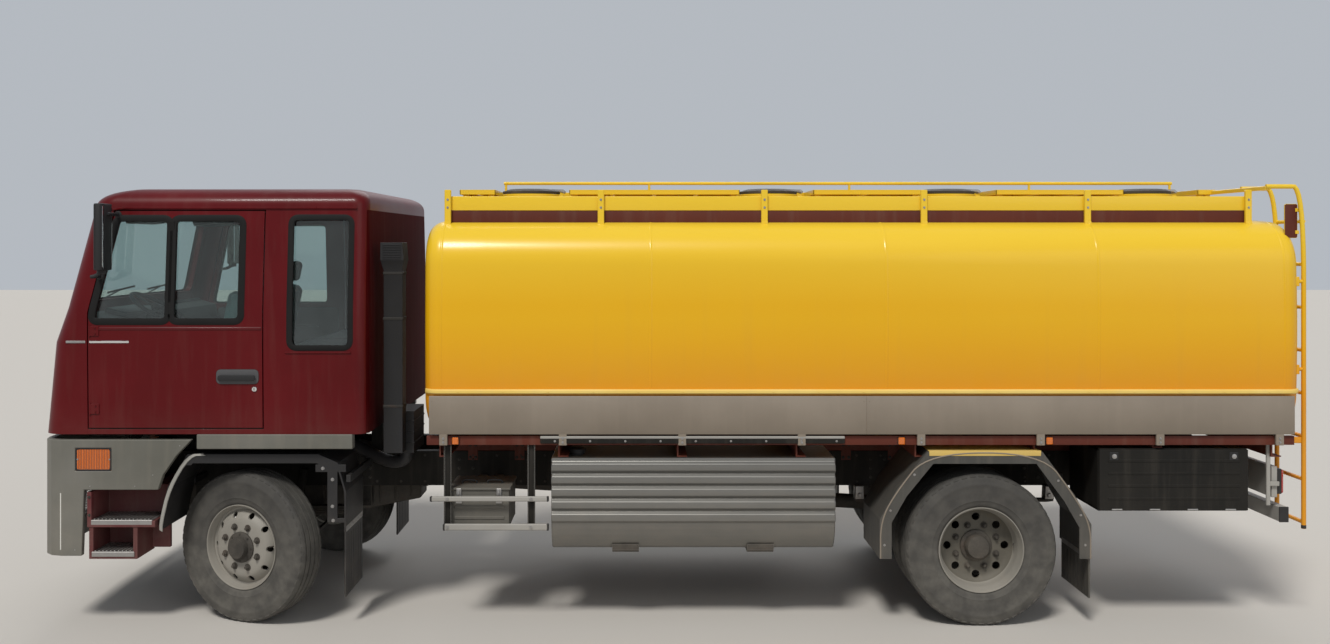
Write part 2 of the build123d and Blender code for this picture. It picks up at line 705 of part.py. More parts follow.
# Ribbed side tanks: rounded ribs along the outer face, hung from the frame on straps
side_tank_x = (-825, 1075)
side_tank_z = (500, 1129)
side_tank_y = (660, 1192)
rib_count = 5
rib_z = (690, 1110)
rib_swell = 22
rib_pitch = (rib_z[1] - rib_z[0]) / rib_count
with BuildPart() as side_tank:
    with BuildSketch(Plane.YZ.offset(side_tank_x[0])) as tank_profile:
        with BuildLine():
            Polyline((-side_tank_y[1], rib_z[1]), (-side_tank_y[1], side_tank_z[1]), (-side_tank_y[0], side_tank_z[1]),
                     (-side_tank_y[0], side_tank_z[0]), (-side_tank_y[1] + 130, side_tank_z[0]))
            RadiusArc((-side_tank_y[1] + 130, side_tank_z[0]), (-side_tank_y[1], rib_z[0]), 260)
            for index in range(rib_count):
                low = rib_z[0] + index * rib_pitch
                high = low + rib_pitch
                Polyline((-side_tank_y[1], low), (-side_tank_y[1] - rib_swell, low + 20),
                         (-side_tank_y[1] - rib_swell, high - 20), (-side_tank_y[1], high))
        make_face()
    extrude(amount=side_tank_x[1] - side_tank_x[0])
    for x in (-420, 670):
        add(block((x - 45, x + 45), (-side_tank_y[0], -rail_outer), (820, 1000)))
with BuildPart() as side_tanks:
    for piece in both_sides(side_tank.part):
        add(piece)
side_tanks.part.label = "side_tanks"

# Side guards: two light rails ahead of the side tank on posts, and a strip under the skirt above it
with BuildPart() as guard_rails:
    for low, high, front in ((840, 873, -1632), (647, 690, -1545)):
        add(block((front, -845), (-1215, -1190), (low, high)))
    for x in (-1520, -960):
        add(block((x - 25, x + 25), (-1190, -1168), (647, 1215)))
    add(block((-898, 1135), (-1222, -1207), (1228, 1278)))
with BuildPart() as side_guards:
    for piece in both_sides(guard_rails.part):
        add(piece)
side_guards.part.label = "side_guards"

# Battery box on the left, twin air reservoirs on the right
with BuildPart() as battery_box:
    add(block((-1512, -1112), (-1150, -720), (653, 905)))
    add(block((-1522, -1102), (-1160, -710), (905, 922)))
    add(block((-1400, -1340), (-720, -rail_outer), (830, 880)))
    add(block((-1284, -1224), (-720, -rail_outer), (830, 880)))
battery_box.part.label = "battery_box"

with BuildPart() as air_tanks:
    for z in (760, 960):
        with BuildSketch(Plane.YZ.offset(-1560)):
            with Locations((720, z)):
                RegularPolygon(92, 12)
        extrude(amount=560)
    for x in (-1440, -1120):
        add(block((x - 20, x + 20), (rail_outer, 730), (800, 1000)))
air_tanks.part.label = "air_tanks"

# Air cleaner box behind the cab on the left rail, with its intake riser and hood
riser_x = (-1985, -1855)
with BuildPart() as air_intake:
    add(block((riser_x[0] - 5, riser_x[1] + 55), (-880, -470), (1110, 1400)))
    add(block((riser_x[0] + 25, riser_x[1] - 10), (-470, -rail_outer + rail_flange), (rail_top, 1130)))
    riser = []
    # Riser sections: height, front and rear stations, outer and inner sides
    for z, front, rear, outer, inner in ((1130, -1985, -1855, -1010, -880), (2380, -1985, -1855, -1010, -880),
                                         (2450, -2000, -1840, -1050, -870), (2570, -2000, -1850, -1050, -870)):
        riser.append([Vector(front, outer, z), Vector(rear, outer, z), Vector(rear, inner, z), Vector(front, inner, z)])
    add(ringed_solid(riser))
air_intake.part.label = "air_intake"

# Valve cabinet under the tail: an open box with the outlet manifold, closed by a drop-down door
cabinet_x = (2835, 3835)
cabinet_z = (773, 1190)
cabinet_y = (-1185, -620)
cabinet_sheet = 18
with BuildPart() as valve_cabinet:
    add(block(cabinet_x, cabinet_y, cabinet_z))
    add(block((cabinet_x[0] + cabinet_sheet, cabinet_x[1] - cabinet_sheet), (-1300, cabinet_y[1] - cabinet_sheet),
              (cabinet_z[0] + cabinet_sheet, cabinet_z[1] - cabinet_sheet)), mode=Mode.SUBTRACT)
    add(block((cabinet_x[0] + 60, cabinet_x[1] - 60), (-760, cabinet_y[1] - cabinet_sheet), (940, 1040)))
    for x in (3035, 3335, 3635):
        with BuildSketch(Plane.XZ.offset(760)):
            with Locations((x, 990)):
                RegularPolygon(62, 12)
        extrude(amount=200)
        add(block((x - 12, x + 12), (-900, -876), (1040, 1130)))
    for x in (3000, 3700):
        add(block((x - 30, x + 30), (cabinet_y[1], -rail_outer), (880, 940)))
valve_cabinet.part.label = "valve_cabinet"

with BuildPart() as cabinet_door:
    add(block((cabinet_x[0] + 3, cabinet_x[1] - 3), (cabinet_y[0] - 22, cabinet_y[0] - 4),
              (cabinet_z[0] + 6, cabinet_z[1] - 4)))
cabinet_door.part.label = "cabinet_door"

# Front axle: a beam with kingpin eyes, carried on leaf springs
beam_z = (458, 546)
eye_z = (450, 560)
kingpin_radius = 25
leaf_lengths = (0.4, 0.7, 1)


def leaf_spring(axle_x, centre_y, seat_z, leaf, half_length):
    # A pack of leaves, longest on top, with hangers up to the rail and a clamp over the axle
    with BuildPart(mode=Mode.PRIVATE) as spring:
        for index, share in enumerate(leaf_lengths):
            reach = half_length * share
            low = seat_z + index * leaf
            add(block((axle_x - reach, axle_x + reach), (centre_y - 40, centre_y + 40), (low, low + leaf)))
        top = seat_z + len(leaf_lengths) * leaf
        for end in (-1, 1):
            x = axle_x + end * (half_length - 30)
            add(block((x - 34, x + 34), (centre_y - 40, centre_y + 40), (top, rail_top - rail_height)))
        add(block((axle_x - 80, axle_x + 80), (centre_y - 56, centre_y + 56), (seat_z - 20, top + 26)))
    return spring.part


with BuildPart() as front_axle:
    add(block((front_axle_x - 44, front_axle_x + 44), (-kingpin_y, kingpin_y), beam_z))
    for edge in (-1, 1):
        add(block((front_axle_x + edge * 30 - 16, front_axle_x + edge * 30 + 16), (-700, 700),
                  (beam_z[0] + 20, beam_z[1] - 20)), mode=Mode.SUBTRACT)
    for y in (-kingpin_y, kingpin_y):
        with BuildSketch(Plane.XY.offset(eye_z[0])):
            with Locations((front_axle_x, y)):
                RegularPolygon(48, 12)
        extrude(amount=eye_z[1] - eye_z[0])
        with BuildSketch(Plane.XY.offset(eye_z[0])):
            with Locations((front_axle_x, y)):
                Circle(kingpin_radius + 0.05)
        extrude(amount=eye_z[1] - eye_z[0], mode=Mode.SUBTRACT)
    for spring in both_sides(leaf_spring(front_axle_x, -(rail_outer - 40), beam_z[1] + 20, 28, 640)):
        add(spring)
front_axle.part.label = "front_axle"

# Steering knuckles: a fork over the kingpin, a backing plate, the wheel spindle and a lever to the tie rod
steer = radians(rest_steer)


def steered(shape, side):
    # Turns a piece about its kingpin to the angle at which the truck stands
    kingpin = Axis((front_axle_x, side * kingpin_y, 0), (0, 0, 1))
    return shape.rotate(kingpin, rest_steer)


def knuckle_left():
    y = -kingpin_y
    with BuildPart() as body:
        for low, high in ((412, 444), (566, 598)):
            add(block((front_axle_x - 50, front_axle_x + 50), (y - 80, y), (low, high)))
            with BuildSketch(Plane.XY.offset(low)):
                with Locations((front_axle_x, y)):
                    RegularPolygon(50, 12)
            extrude(amount=high - low)
        with BuildSketch(Plane.XY.offset(412)):
            with Locations((front_axle_x, y)):
                Circle(kingpin_radius)
        extrude(amount=186)
        with BuildSketch(Plane.XZ.offset(kingpin_y + 56)):
            with Locations((front_axle_x, wheel_radius)):
                RegularPolygon(198, 16)
        extrude(amount=24)
        with BuildSketch(Plane.XZ.offset(kingpin_y + 80)):
            with Locations((front_axle_x, wheel_radius)):
                RegularPolygon(35, 16)
        extrude(amount=145)
        add(block((front_axle_x, front_axle_x + tie_rod_lever + 26), (y - 24, y + 24), (412, 440)))
        with BuildSketch(Plane.XY.offset(tie_rod_z - 24)):
            with Locations((front_axle_x + tie_rod_lever, y)):
                RegularPolygon(12.5, 12)
        extrude(amount=440 - tie_rod_z)
    return body.part


with BuildPart() as knuckle_front_left:
    add(steered(knuckle_left(), -1))
knuckle_front_left.part.label = "knuckle_front_left"
with BuildPart() as knuckle_front_right:
    add(steered(knuckle_left().mirror(Plane.XZ), 1))
knuckle_front_right.part.label = "knuckle_front_right"

# Tie rod between the levers, with an eye round each ball pin
ball_x = front_axle_x + tie_rod_lever * cos(steer)
ball_shift = tie_rod_lever * sin(steer)
with BuildPart() as tie_rod:
    add(block((ball_x - 13, ball_x + 13), (-kingpin_y + ball_shift, kingpin_y + ball_shift),
              (tie_rod_z - 11, tie_rod_z + 7)))
    for y in (-kingpin_y + ball_shift, kingpin_y + ball_shift):
        with BuildSketch(Plane.XY.offset(tie_rod_z - 14)):
            with Locations((ball_x, y)):
                RegularPolygon(27, 12)
        extrude(amount=21)
        with BuildSketch(Plane.XY.offset(tie_rod_z - 20)):
            with Locations((ball_x, y)):
                RegularPolygon(15, 12)
        extrude(amount=40, mode=Mode.SUBTRACT)
tie_rod.part.label = "tie_rod"


def turned(profile, centre, sides):
    # A piece turned about the left-hand axle line in flat steps: points are (radius to the flats, outward station)
    rings = []
    for index in range(sides):
        bearing = 2 * pi * (index + 0.5) / sides
        reach = 1 / cos(pi / sides)
        rings.append([Vector(centre[0] + radius * reach * sin(bearing), centre[1] - station,
                             centre[2] - radius * reach * cos(bearing)) for radius, station in profile])
    faces = []
    for ring, following in zip(rings, rings[1:] + rings[:1]):
        for start, (radius, _) in enumerate(profile):
            end = (start + 1) % len(profile)
            corners = [ring[start], ring[end]]
            if profile[end][0]:
                corners.append(following[end])
            if radius:
                corners.append(following[start])
            if len(corners) > 2:
                faces.append(Face(Wire.make_polygon(corners)))
    return Solid(Shell(faces))


# Wheel profiles as radius and outward station; the tyre's inner side has no shoulder
tyre_profile = [(rim_radius, -bead_half), (478, -tyre_half), (wheel_radius, -tyre_half + 8),
                (wheel_radius, 101), (480, tyre_half), (rim_radius, bead_half)]
front_rim_profile = [(rim_radius, -lip_half), (rim_radius, lip_half), (270, lip_half), (270, 62), (192, 104),
                     (112, 104), (112, 166), (0, 166), (0, 80), (36, 80), (36, -20), (215, -20),
                     (215, -lip_half)]
inner_lip = -twin_spacing / 2 - lip_half
outer_lip = twin_spacing / 2 + lip_half
rear_rim_profile = [(rim_radius, inner_lip), (rim_radius, outer_lip), (268, outer_lip), (268, 152), (205, 116),
                    (128, 116), (128, 205), (0, 205), (0, 20), (62, 20), (62, inner_lip)]
front_centre = (front_axle_x, -kingpin_y - kingpin_offset, wheel_radius)
rear_centre = (rear_axle_x, -twin_centre_y, wheel_radius)

wheel_sides = 24
wheels = []
for side, name in ((-1, "left"), (1, "right")):
    for kind, profile in (("tyre", tyre_profile), ("rim", front_rim_profile)):
        with BuildPart() as front_piece:
            shape = turned(profile, front_centre, wheel_sides)
            add(steered(shape if side < 0 else shape.mirror(Plane.XZ), side))
        front_piece.part.label = f"{kind}_front_{name}"
        wheels.append(front_piece)
    with BuildPart() as twin_tyres:
        for shift in (-twin_spacing / 2, twin_spacing / 2):
            shape = turned(tyre_profile, (rear_axle_x, -twin_centre_y - shift, wheel_radius), wheel_sides)
            add(shape if side < 0 else shape.mirror(Plane.XZ))
    twin_tyres.part.label = f"tyres_rear_{name}"
    with BuildPart() as twin_rims:
        shape = turned(rear_rim_profile, rear_centre, wheel_sides)
        add(shape if side < 0 else shape.mirror(Plane.XZ))
    twin_rims.part.label = f"rims_rear_{name}"
    wheels += [twin_tyres, twin_rims]

# Rear axle: a banjo casing with tubes into the hubs, on leaf springs
with BuildPart() as rear_axle:
    add(turned([(0, -940), (58, -940), (58, -620), (82, -620), (82, -240), (190, -90), (190, 90), (82, 240),
                (82, 620), (58, 620), (58, 940), (0, 940)], (rear_axle_x, 0, wheel_radius), 12))
    for spring in both_sides(leaf_spring(rear_axle_x, -(rail_outer - 10), wheel_radius + 92, 34, 720)):
        add(spring)
rear_axle.part.label = "rear_axle"

# Engine under the cab as one plain block, with the gearbox and the propeller shaft to the rear axle
engine_rear = -2560
gearbox_rear = -1880
# Gearbox sections: station, half width, underside and top
gearbox_sections = [(engine_rear, 280, 540, 1060), (gearbox_rear, 140, 650, 950)]
shaft_start = Vector(gearbox_rear - 10, 0, 790)
shaft_run = Vector(rear_axle_x - 150, 0, wheel_radius + 60) - shaft_start
with BuildPart() as powertrain:
    add(block((-3650, engine_rear), (-320, 320), (600, 1420)))
    housing = []
    for x, half, low, high in gearbox_sections:
        housing.append([Vector(x, half, low), Vector(x, half, high), Vector(x, -half, high), Vector(x, -half, low)])
    add(ringed_solid(housing))
    with BuildSketch(Plane(origin=shaft_start, x_dir=(0, 1, 0), z_dir=shaft_run)):
        RegularPolygon(55, 12)
    extrude(amount=shaft_run.length)
    add(rear_axle.part, mode=Mode.SUBTRACT)
    add(chassis_frame.part, mode=Mode.SUBTRACT)
powertrain.part.label = "powertrain"

right_doors = []
for name, left in (("door", door_left), ("door_glass", door_glass_left), ("mirror", mirror_left)):
    with BuildPart() as right:
        add(left.part.mirror(Plane.XZ))
    right.part.label = f"{name}_right"
    right_doors.append(right)

pieces = [
    door_left, door_glass_left, mirror_left, *right_doors,
    cab_sides, cab_rear_wall, cab_roof, cab_front, cab_glass, cab_floor, cab_sills,
    dashboard, steering_wheel, seats,
    chassis_frame, tank_subframe, tank_shell, tank_skirts, manhole_collars, *lids,
    walkway, top_rails, rear_ladder, rear_bumper, rear_lamps, rear_mudguards, front_mudguards,
    drip_boards, step_boxes, front_bumper, front_lamps, side_tanks, side_guards, battery_box, air_tanks, air_intake,
    valve_cabinet, cabinet_door, front_axle, knuckle_front_left, knuckle_front_right, tie_rod,
    *wheels, rear_axle, powertrain,
]
for piece in pieces:
    export_step(piece.part, f"parts/{piece.part.label}.step")
print(len(pieces), "pieces")
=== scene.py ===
import itertools
import json
import math

import bmesh
import bpy
from mathutils import Matrix, Vector

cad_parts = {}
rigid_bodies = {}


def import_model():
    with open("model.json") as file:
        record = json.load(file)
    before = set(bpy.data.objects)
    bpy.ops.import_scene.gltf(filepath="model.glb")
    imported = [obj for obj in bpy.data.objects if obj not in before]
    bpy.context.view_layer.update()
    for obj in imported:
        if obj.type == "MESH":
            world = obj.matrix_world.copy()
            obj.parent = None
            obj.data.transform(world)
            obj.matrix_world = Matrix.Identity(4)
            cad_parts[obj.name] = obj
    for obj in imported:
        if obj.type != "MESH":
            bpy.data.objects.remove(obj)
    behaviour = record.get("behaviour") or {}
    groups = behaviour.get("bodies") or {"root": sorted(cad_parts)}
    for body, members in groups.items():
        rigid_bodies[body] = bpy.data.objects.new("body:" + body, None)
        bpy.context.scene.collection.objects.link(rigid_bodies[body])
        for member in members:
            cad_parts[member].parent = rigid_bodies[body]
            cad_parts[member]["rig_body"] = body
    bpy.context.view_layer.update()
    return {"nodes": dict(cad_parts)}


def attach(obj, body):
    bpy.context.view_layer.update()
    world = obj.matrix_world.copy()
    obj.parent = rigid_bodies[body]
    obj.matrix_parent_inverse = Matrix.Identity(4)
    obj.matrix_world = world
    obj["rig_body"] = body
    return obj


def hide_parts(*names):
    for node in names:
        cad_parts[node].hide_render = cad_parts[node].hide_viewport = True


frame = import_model()
print("frame loaded,", len(frame["nodes"]), "nodes")


class Signal:
    def __init__(self, paint, socket):
        self.paint = paint
        self.socket = socket

    def maths(self, operation, *others, clamp=False):
        settings = {"operation": operation, "use_clamp": clamp}
        return self.paint.node("ShaderNodeMath", settings, dict(enumerate([self, *others])))

    def __add__(self, other):
        return self.maths("ADD", other)

    def __sub__(self, other):
        return self.maths("SUBTRACT", other)

    def __rsub__(self, other):
        return (self * -1).maths("ADD", other)

    def __mul__(self, other):
        return self.maths("MULTIPLY", other)

    __radd__ = __add__
    __rmul__ = __mul__

    def above(self, edge, width):
        return (self - edge).maths("DIVIDE", width, clamp=True)  # 0 below the edge, 1 a width over it

    def below(self, edge, width):
        return 1 - self.above(edge - width, width)

    def wave(self, period):
        return (self * (2 * math.pi / period)).maths("SINE")


def asColour(value):
    return (*value, 1) if isinstance(value, tuple) and len(value) == 3 else value


class Paint:
    def __init__(self, name):
        self.material = bpy.data.materials.new(name)
        self.material.use_nodes = True
        self.tree = self.material.node_tree
        self.shader = self.tree.nodes["Principled BSDF"]
        self.coords = self.node("ShaderNodeTexCoord", output="Object")
        self.x, self.y, self.z = [self.node("ShaderNodeSeparateXYZ", {}, {0: self.coords}, output=i) for i in range(3)]

    def node(self, kind, settings=None, sockets=None, output=0):
        made = self.tree.nodes.new(kind)
        for key, value in (settings or {}).items():
            setattr(made, key, value)
        for key, value in (sockets or {}).items():
            self.feed(made.inputs[key], value)
        return Signal(self, made.outputs[output])

    def feed(self, socket, value):
        if isinstance(value, Signal):
            self.tree.links.new(value.socket, socket)
        elif value is not None:
            socket.default_value = asColour(value) if socket.type == "RGBA" else value

    def set(self, **values):
        for key, value in values.items():
            self.feed(self.shader.inputs[key.replace("_", " ")], value)

    def stretched(self, stretch):
        return self.node("ShaderNodeVectorMath", {"operation": "MULTIPLY"}, {0: self.coords, 1: stretch})

    def noise(self, scale, detail=4, stretch=(1, 1, 1), rough=0.55):
        sockets = {"Vector": self.stretched(stretch), "Scale": scale, "Detail": detail, "Roughness": rough}
        return self.node("ShaderNodeTexNoise", {}, sockets)

    def grain(self, scale):
        return self.node("ShaderNodeTexVoronoi", {}, {"Vector": self.stretched((1, 1, 1)), "Scale": scale})

    def mix(self, factor, low, high):
        return self.node("ShaderNodeMix", {"data_type": "RGBA"}, {0: factor, 6: low, 7: high}, output=2)

    def bump(self, height, distance, strength=0.6, under=None):
        sockets = {"Height": height, "Distance": distance, "Strength": strength, "Normal": under}
        return self.node("ShaderNodeBump", {}, sockets)


dust = (0.36, 0.31, 0.25)
rustBrown = (0.085, 0.036, 0.017)


def scaled(colour, share, lift=0.0):
    return tuple(share * c + lift for c in colour)


def dusty(paint, top, band):
    patches = paint.noise(5.0, 5, (1, 1, 1.4)).above(0.34, 0.4)  # dust lies near the ground and in soft patches
    specks = paint.noise(90, 3).above(0.4, 0.5)
    return (paint.z.below(top, band) * (patches * 0.75 + 0.25)).maths("MULTIPLY", specks * 0.35 + 0.65, clamp=True)


def paintFinish(name, colour, faded, roughness, dustTop, dustBand, dustMost=0.6, coat=0.0, streak=0.2, gloss=0.35):
    paint = Paint(name)
    tone = paint.noise(1.6, 5)
    runs = paint.noise(14, 4, (1, 1, 0.08)).above(0.5, 0.3) * streak
    base = paint.mix(tone.above(0.35, 0.4), colour, faded)
    base = paint.mix(runs, base, tuple(0.55 * c + 0.45 * d for c, d in zip(colour, dust)))
    dirt = dusty(paint, dustTop, dustBand) * dustMost
    paint.set(Base_Color=paint.mix(dirt, base, dust), Specular_IOR_Level=gloss)
    paint.set(Roughness=(dirt * 0.5 + roughness + tone * 0.08).maths("MINIMUM", 0.95))
    if coat:
        paint.set(Coat_Weight=(1 - dirt) * coat, Coat_Roughness=0.08)
    fine = paint.bump(paint.noise(160, 2), 0.0004)
    paint.set(Normal=paint.bump(paint.noise(2.2, 2), 0.004, 0.3, under=fine))
    return paint.material


cabRed = paintFinish("cabRedPaint", (0.088, 0.0022, 0.0038), (0.112, 0.0036, 0.0060), 0.34, 1.5, 0.5, 0.12,
                     coat=0.10, streak=0.08, gloss=0.15)
# a darker, duller copy of the cab red for the rear wall's back face: painted shade for the narrow gap between cab and
# tank
cabRedPaintedShade = paintFinish("cabRearPaintedShade", (0.050, 0.0020, 0.0030), (0.070, 0.0034, 0.0050), 0.66, 1.5, 0.5, 0.12,
                         streak=0.08, gloss=0.03)
stepRed = paintFinish("stepRedPaint", (0.085, 0.012, 0.014), (0.12, 0.022, 0.025), 0.5, 1.1, 1.0, 0.4)
greyPaint = paintFinish("skirtGreyPaint", (0.215, 0.180, 0.142), (0.262, 0.222, 0.178), 0.46, 1.4, 1.0, 0.25, streak=0.3)
bumperGrey = paintFinish("bumperGreyPaint", (0.120, 0.118, 0.100), (0.175, 0.170, 0.150), 0.44, 1.1, 0.8, 0.35,
                         streak=0.35)
guardDark = paintFinish("guardDarkPaint", (0.050, 0.049, 0.045), (0.085, 0.082, 0.074), 0.5, 1.1, 0.8, 0.2, streak=0.3)
guardGrey = paintFinish("guardGreyPaint", (0.28, 0.272, 0.255), (0.36, 0.35, 0.325), 0.5, 1.2, 1.0, 0.45, streak=0.3)
lipGrey = paintFinish("archLipPaint", (0.30, 0.295, 0.27), (0.38, 0.37, 0.34), 0.5, 1.0, 0.8, 0.2)
wheelDark = paintFinish("wheelDiscPaint", (0.085, 0.078, 0.062), (0.13, 0.122, 0.10), 0.55, 1.0, 1.2, 0.35, streak=0.3)
wheelSilver = paintFinish("wheelSilverPaint", (0.215, 0.205, 0.180), (0.30, 0.285, 0.255), 0.46, 1.0, 1.2, 0.45,
                          streak=0.4)
frameBlack = paintFinish("frameBlackPaint", (0.008, 0.0075, 0.0065), (0.014, 0.0125, 0.010), 0.62, 1.2, 1.0, 0.10,
                         streak=0.14, gloss=0.22)
saddleBlack = paintFinish("strapBlackPaint", (0.03, 0.028, 0.026), (0.05, 0.046, 0.042), 0.6, 1.1, 0.9, 0.5)
lidBlack = paintFinish("lidBlackPaint", (0.018, 0.016, 0.014), (0.035, 0.03, 0.026), 0.5, 3.2, 0.5, 0.4)
railRed = paintFinish("subframeRedPaint", (0.085, 0.014, 0.007), (0.12, 0.024, 0.010), 0.6, 1.25, 0.8, 0.15)
batteryGrey = paintFinish("batteryGreyPaint", (0.080, 0.077, 0.068), (0.12, 0.115, 0.10), 0.6, 1.1, 0.8, 0.4)
creamPaint = paintFinish("plateCreamPaint", (0.62, 0.42, 0.10), (0.68, 0.50, 0.17), 0.5, 0.9, 0.7, 0.3)
mouldingCream = paintFinish("mouldingCreamPaint", (0.80, 0.56, 0.13), (0.84, 0.64, 0.20), 0.4, 1.2, 0.5, 0.2)
creamWhite = paintFinish("edgeWhitePaint", (0.62, 0.62, 0.58), (0.70, 0.69, 0.64), 0.5, 1.1, 0.9, 0.4)
plateWhite = paintFinish("plateWhitePaint", (0.70, 0.70, 0.68), (0.74, 0.74, 0.72), 0.4, 1.0, 0.8, 0.3)


def tankFinish():
    paint = Paint("tankYellowPaint")
    tone = paint.noise(1.1, 5, (0.35, 1, 1))
    low = paint.mix(tone, (0.70, 0.265, 0.0025), (0.74, 0.310, 0.004))
    middle = paint.mix(tone, (0.75, 0.395, 0.003), (0.79, 0.440, 0.006))
    high = paint.mix(tone, (0.80, 0.530, 0.020), (0.84, 0.580, 0.045))
    base = paint.mix(paint.z.above(2.15, 0.5), paint.mix(paint.z.above(1.5, 0.55), low, middle), high)  # painted light: paler towards the top as if lit from above, deeper orange lower down as painted shade
    runs = paint.noise(9, 5, (1, 1, 0.05)).above(0.55, 0.25) * 0.22
    base = paint.mix(runs * paint.z.below(2.5, 1.2), base, (0.55, 0.30, 0.05))
    dirt = dusty(paint, 1.9, 0.8) * 0.14
    paint.set(Base_Color=paint.mix(dirt, base, dust), Roughness=dirt + 0.24 + tone * 0.1)
    paint.set(Coat_Weight=0.18, Coat_Roughness=0.14, Specular_IOR_Level=0.28)
    fine = paint.bump(paint.noise(150, 2), 0.0004)
    paint.set(Normal=paint.bump(paint.noise(1.3, 2, (0.6, 1, 1)), 0.012, 0.35, under=fine))  # gentle panel waves
    return paint.material


def metalFinish(name, colour, roughness, stretch=(1, 1, 1), rust=0.0, metallic=1.0):
    paint = Paint(name)
    brushed = paint.noise(40, 5, stretch)
    dirt = dusty(paint, 1.15, 0.9) * 0.5
    stains = paint.noise(7, 6).above(0.62 - 0.2 * rust, 0.12) * rust
    base = paint.mix(dirt, paint.mix(brushed, scaled(colour, 0.82), colour), dust)
    paint.set(Base_Color=paint.mix(stains, base, rustBrown), Metallic=(1 - dirt) * (1 - stains) * metallic)
    paint.set(Roughness=brushed * 0.18 + roughness + dirt * 0.3, Normal=paint.bump(brushed, 0.0006))
    return paint.material


def plasticFinish(name, colour, roughness, grain=420, dustMost=0.4, dustTop=1.2, gloss=0.4):
    paint = Paint(name)
    tone = paint.noise(3, 4)
    dirt = dusty(paint, dustTop, 1.0) * dustMost
    base = paint.mix(tone, colour, scaled(colour, 1.5, 0.004))
    paint.set(Base_Color=paint.mix(dirt, base, dust), Roughness=dirt * 0.3 + roughness + tone * 0.08)
    paint.set(Normal=paint.bump(paint.grain(grain), 0.0004), Specular_IOR_Level=gloss)
    return paint.material


def lensFinish(name, colour, clear=0.25):
    paint = Paint(name)
    flutes = paint.x.wave(0.012) + paint.y.wave(0.012)
    paint.set(Base_Color=paint.mix(paint.noise(30, 2) * 0.3, colour, scaled(colour, 0.6)), Roughness=0.12)
    paint.set(Transmission_Weight=clear, Coat_Weight=1.0, Coat_Roughness=0.04, Normal=paint.bump(flutes, 0.0012))
    return paint.material


def glassFinish():
    paint = Paint("windowGlass")
    clear = paint.node("ShaderNodeBsdfTransparent", {}, {"Color": (0.80, 0.87, 0.86)})
    film = dusty(paint, 2.35, 0.5) * 0.10 + paint.noise(5, 3).above(0.5, 0.3) * 0.02
    paint.set(Base_Color=(0.55, 0.56, 0.54), Roughness=0.05, Metallic=0.8)
    pane = paint.node("ShaderNodeMixShader", {}, {0: film + 0.09, 1: clear, 2: Signal(paint, paint.shader.outputs[0])})
    paint.feed(paint.tree.nodes["Material Output"].inputs["Surface"], pane)
    return paint.material


def rubberFinish():
    paint = Paint("tyreRubber")
    tone = paint.noise(6, 5)
    dirt = (paint.noise(11, 5).above(0.36, 0.3) * 0.55 + 0.35) * paint.z.below(1.3, 0.9)
    base = paint.mix(tone, (0.022, 0.021, 0.020), (0.038, 0.036, 0.033))
    paint.set(Base_Color=paint.mix(dirt * 0.42, base, (0.24, 0.225, 0.195)), Roughness=dirt * 0.15 + 0.72)
    paint.set(Normal=paint.bump(paint.noise(260, 3), 0.0006))
    return paint.material


def clothFinish(name, colour, stripe):
    paint = Paint(name)
    weave = paint.x.wave(0.004) * paint.y.wave(0.004) + paint.z.wave(0.004)
    bands = paint.y.wave(0.09).above(0.55, 0.25) * 0.7
    base = paint.mix(bands, paint.mix(paint.noise(5, 4), colour, scaled(colour, 0.7)), stripe)
    paint.set(Base_Color=base, Roughness=0.92, Normal=paint.bump(weave, 0.0007), Sheen_Weight=0.25)
    return paint.material


tankYellow = tankFinish()
ribbedMetal = metalFinish("ribbedMetal", (0.235, 0.232, 0.218), 0.30, (0.02, 1, 1), metallic=0.85)
steel = metalFinish("bareSteel", (0.42, 0.41, 0.40), 0.34, rust=0.3)
castIron = metalFinish("castIron", (0.030, 0.028, 0.025), 0.60, rust=0.22, metallic=0.3)
brass = metalFinish("valveBrass", (0.50, 0.34, 0.12), 0.34, rust=0.15)
chrome = metalFinish("mirrorChrome", (0.82, 0.82, 0.82), 0.03)
blackPlastic = plasticFinish("blackPlastic", (0.014, 0.014, 0.015), 0.5, dustMost=0.22, gloss=0.3)
sealRubber = plasticFinish("sealRubber", (0.009, 0.009, 0.009), 0.6, 200, 0.2, gloss=0.12)
trimPlastic = plasticFinish("trimPlastic", (0.055, 0.055, 0.058), 0.6, 500, 0.1)
hosePlastic = plasticFinish("hosePlastic", (0.02, 0.02, 0.022), 0.42, 150)
lampShell = plasticFinish("lampShellPlastic", (0.30, 0.075, 0.02), 0.3, 200)
floorMat = plasticFinish("floorMatRubber", (0.030, 0.028, 0.026), 0.8, 260, 0.5, 1.6)
bunkPanel = plasticFinish("bunkPanelPlastic", (0.12, 0.115, 0.11), 0.6, 300, 0.1)
lensAmber = lensFinish("lensAmber", (0.90, 0.20, 0.008))
lensRed = lensFinish("lensRed", (0.52, 0.010, 0.006))
lensClear = lensFinish("lensClear", (0.75, 0.76, 0.74), 0.6)
dialFace = lensFinish("dialFacePlastic", (0.012, 0.012, 0.014), 0.0)
glass = glassFinish()
rubber = rubberFinish()
seatCloth = clothFinish("seatCloth", (0.10, 0.24, 0.245), (0.19, 0.36, 0.36))
bunkCloth = clothFinish("bunkCloth", (0.20, 0.20, 0.21), (0.13, 0.13, 0.15))
liningCloth = clothFinish("headliningCloth", (0.30, 0.29, 0.27), (0.27, 0.26, 0.245))
print("finishes made,", len(bpy.data.materials))

along, across, upward = (1, 0, 0), (0, 1, 0), (0, 0, 1)


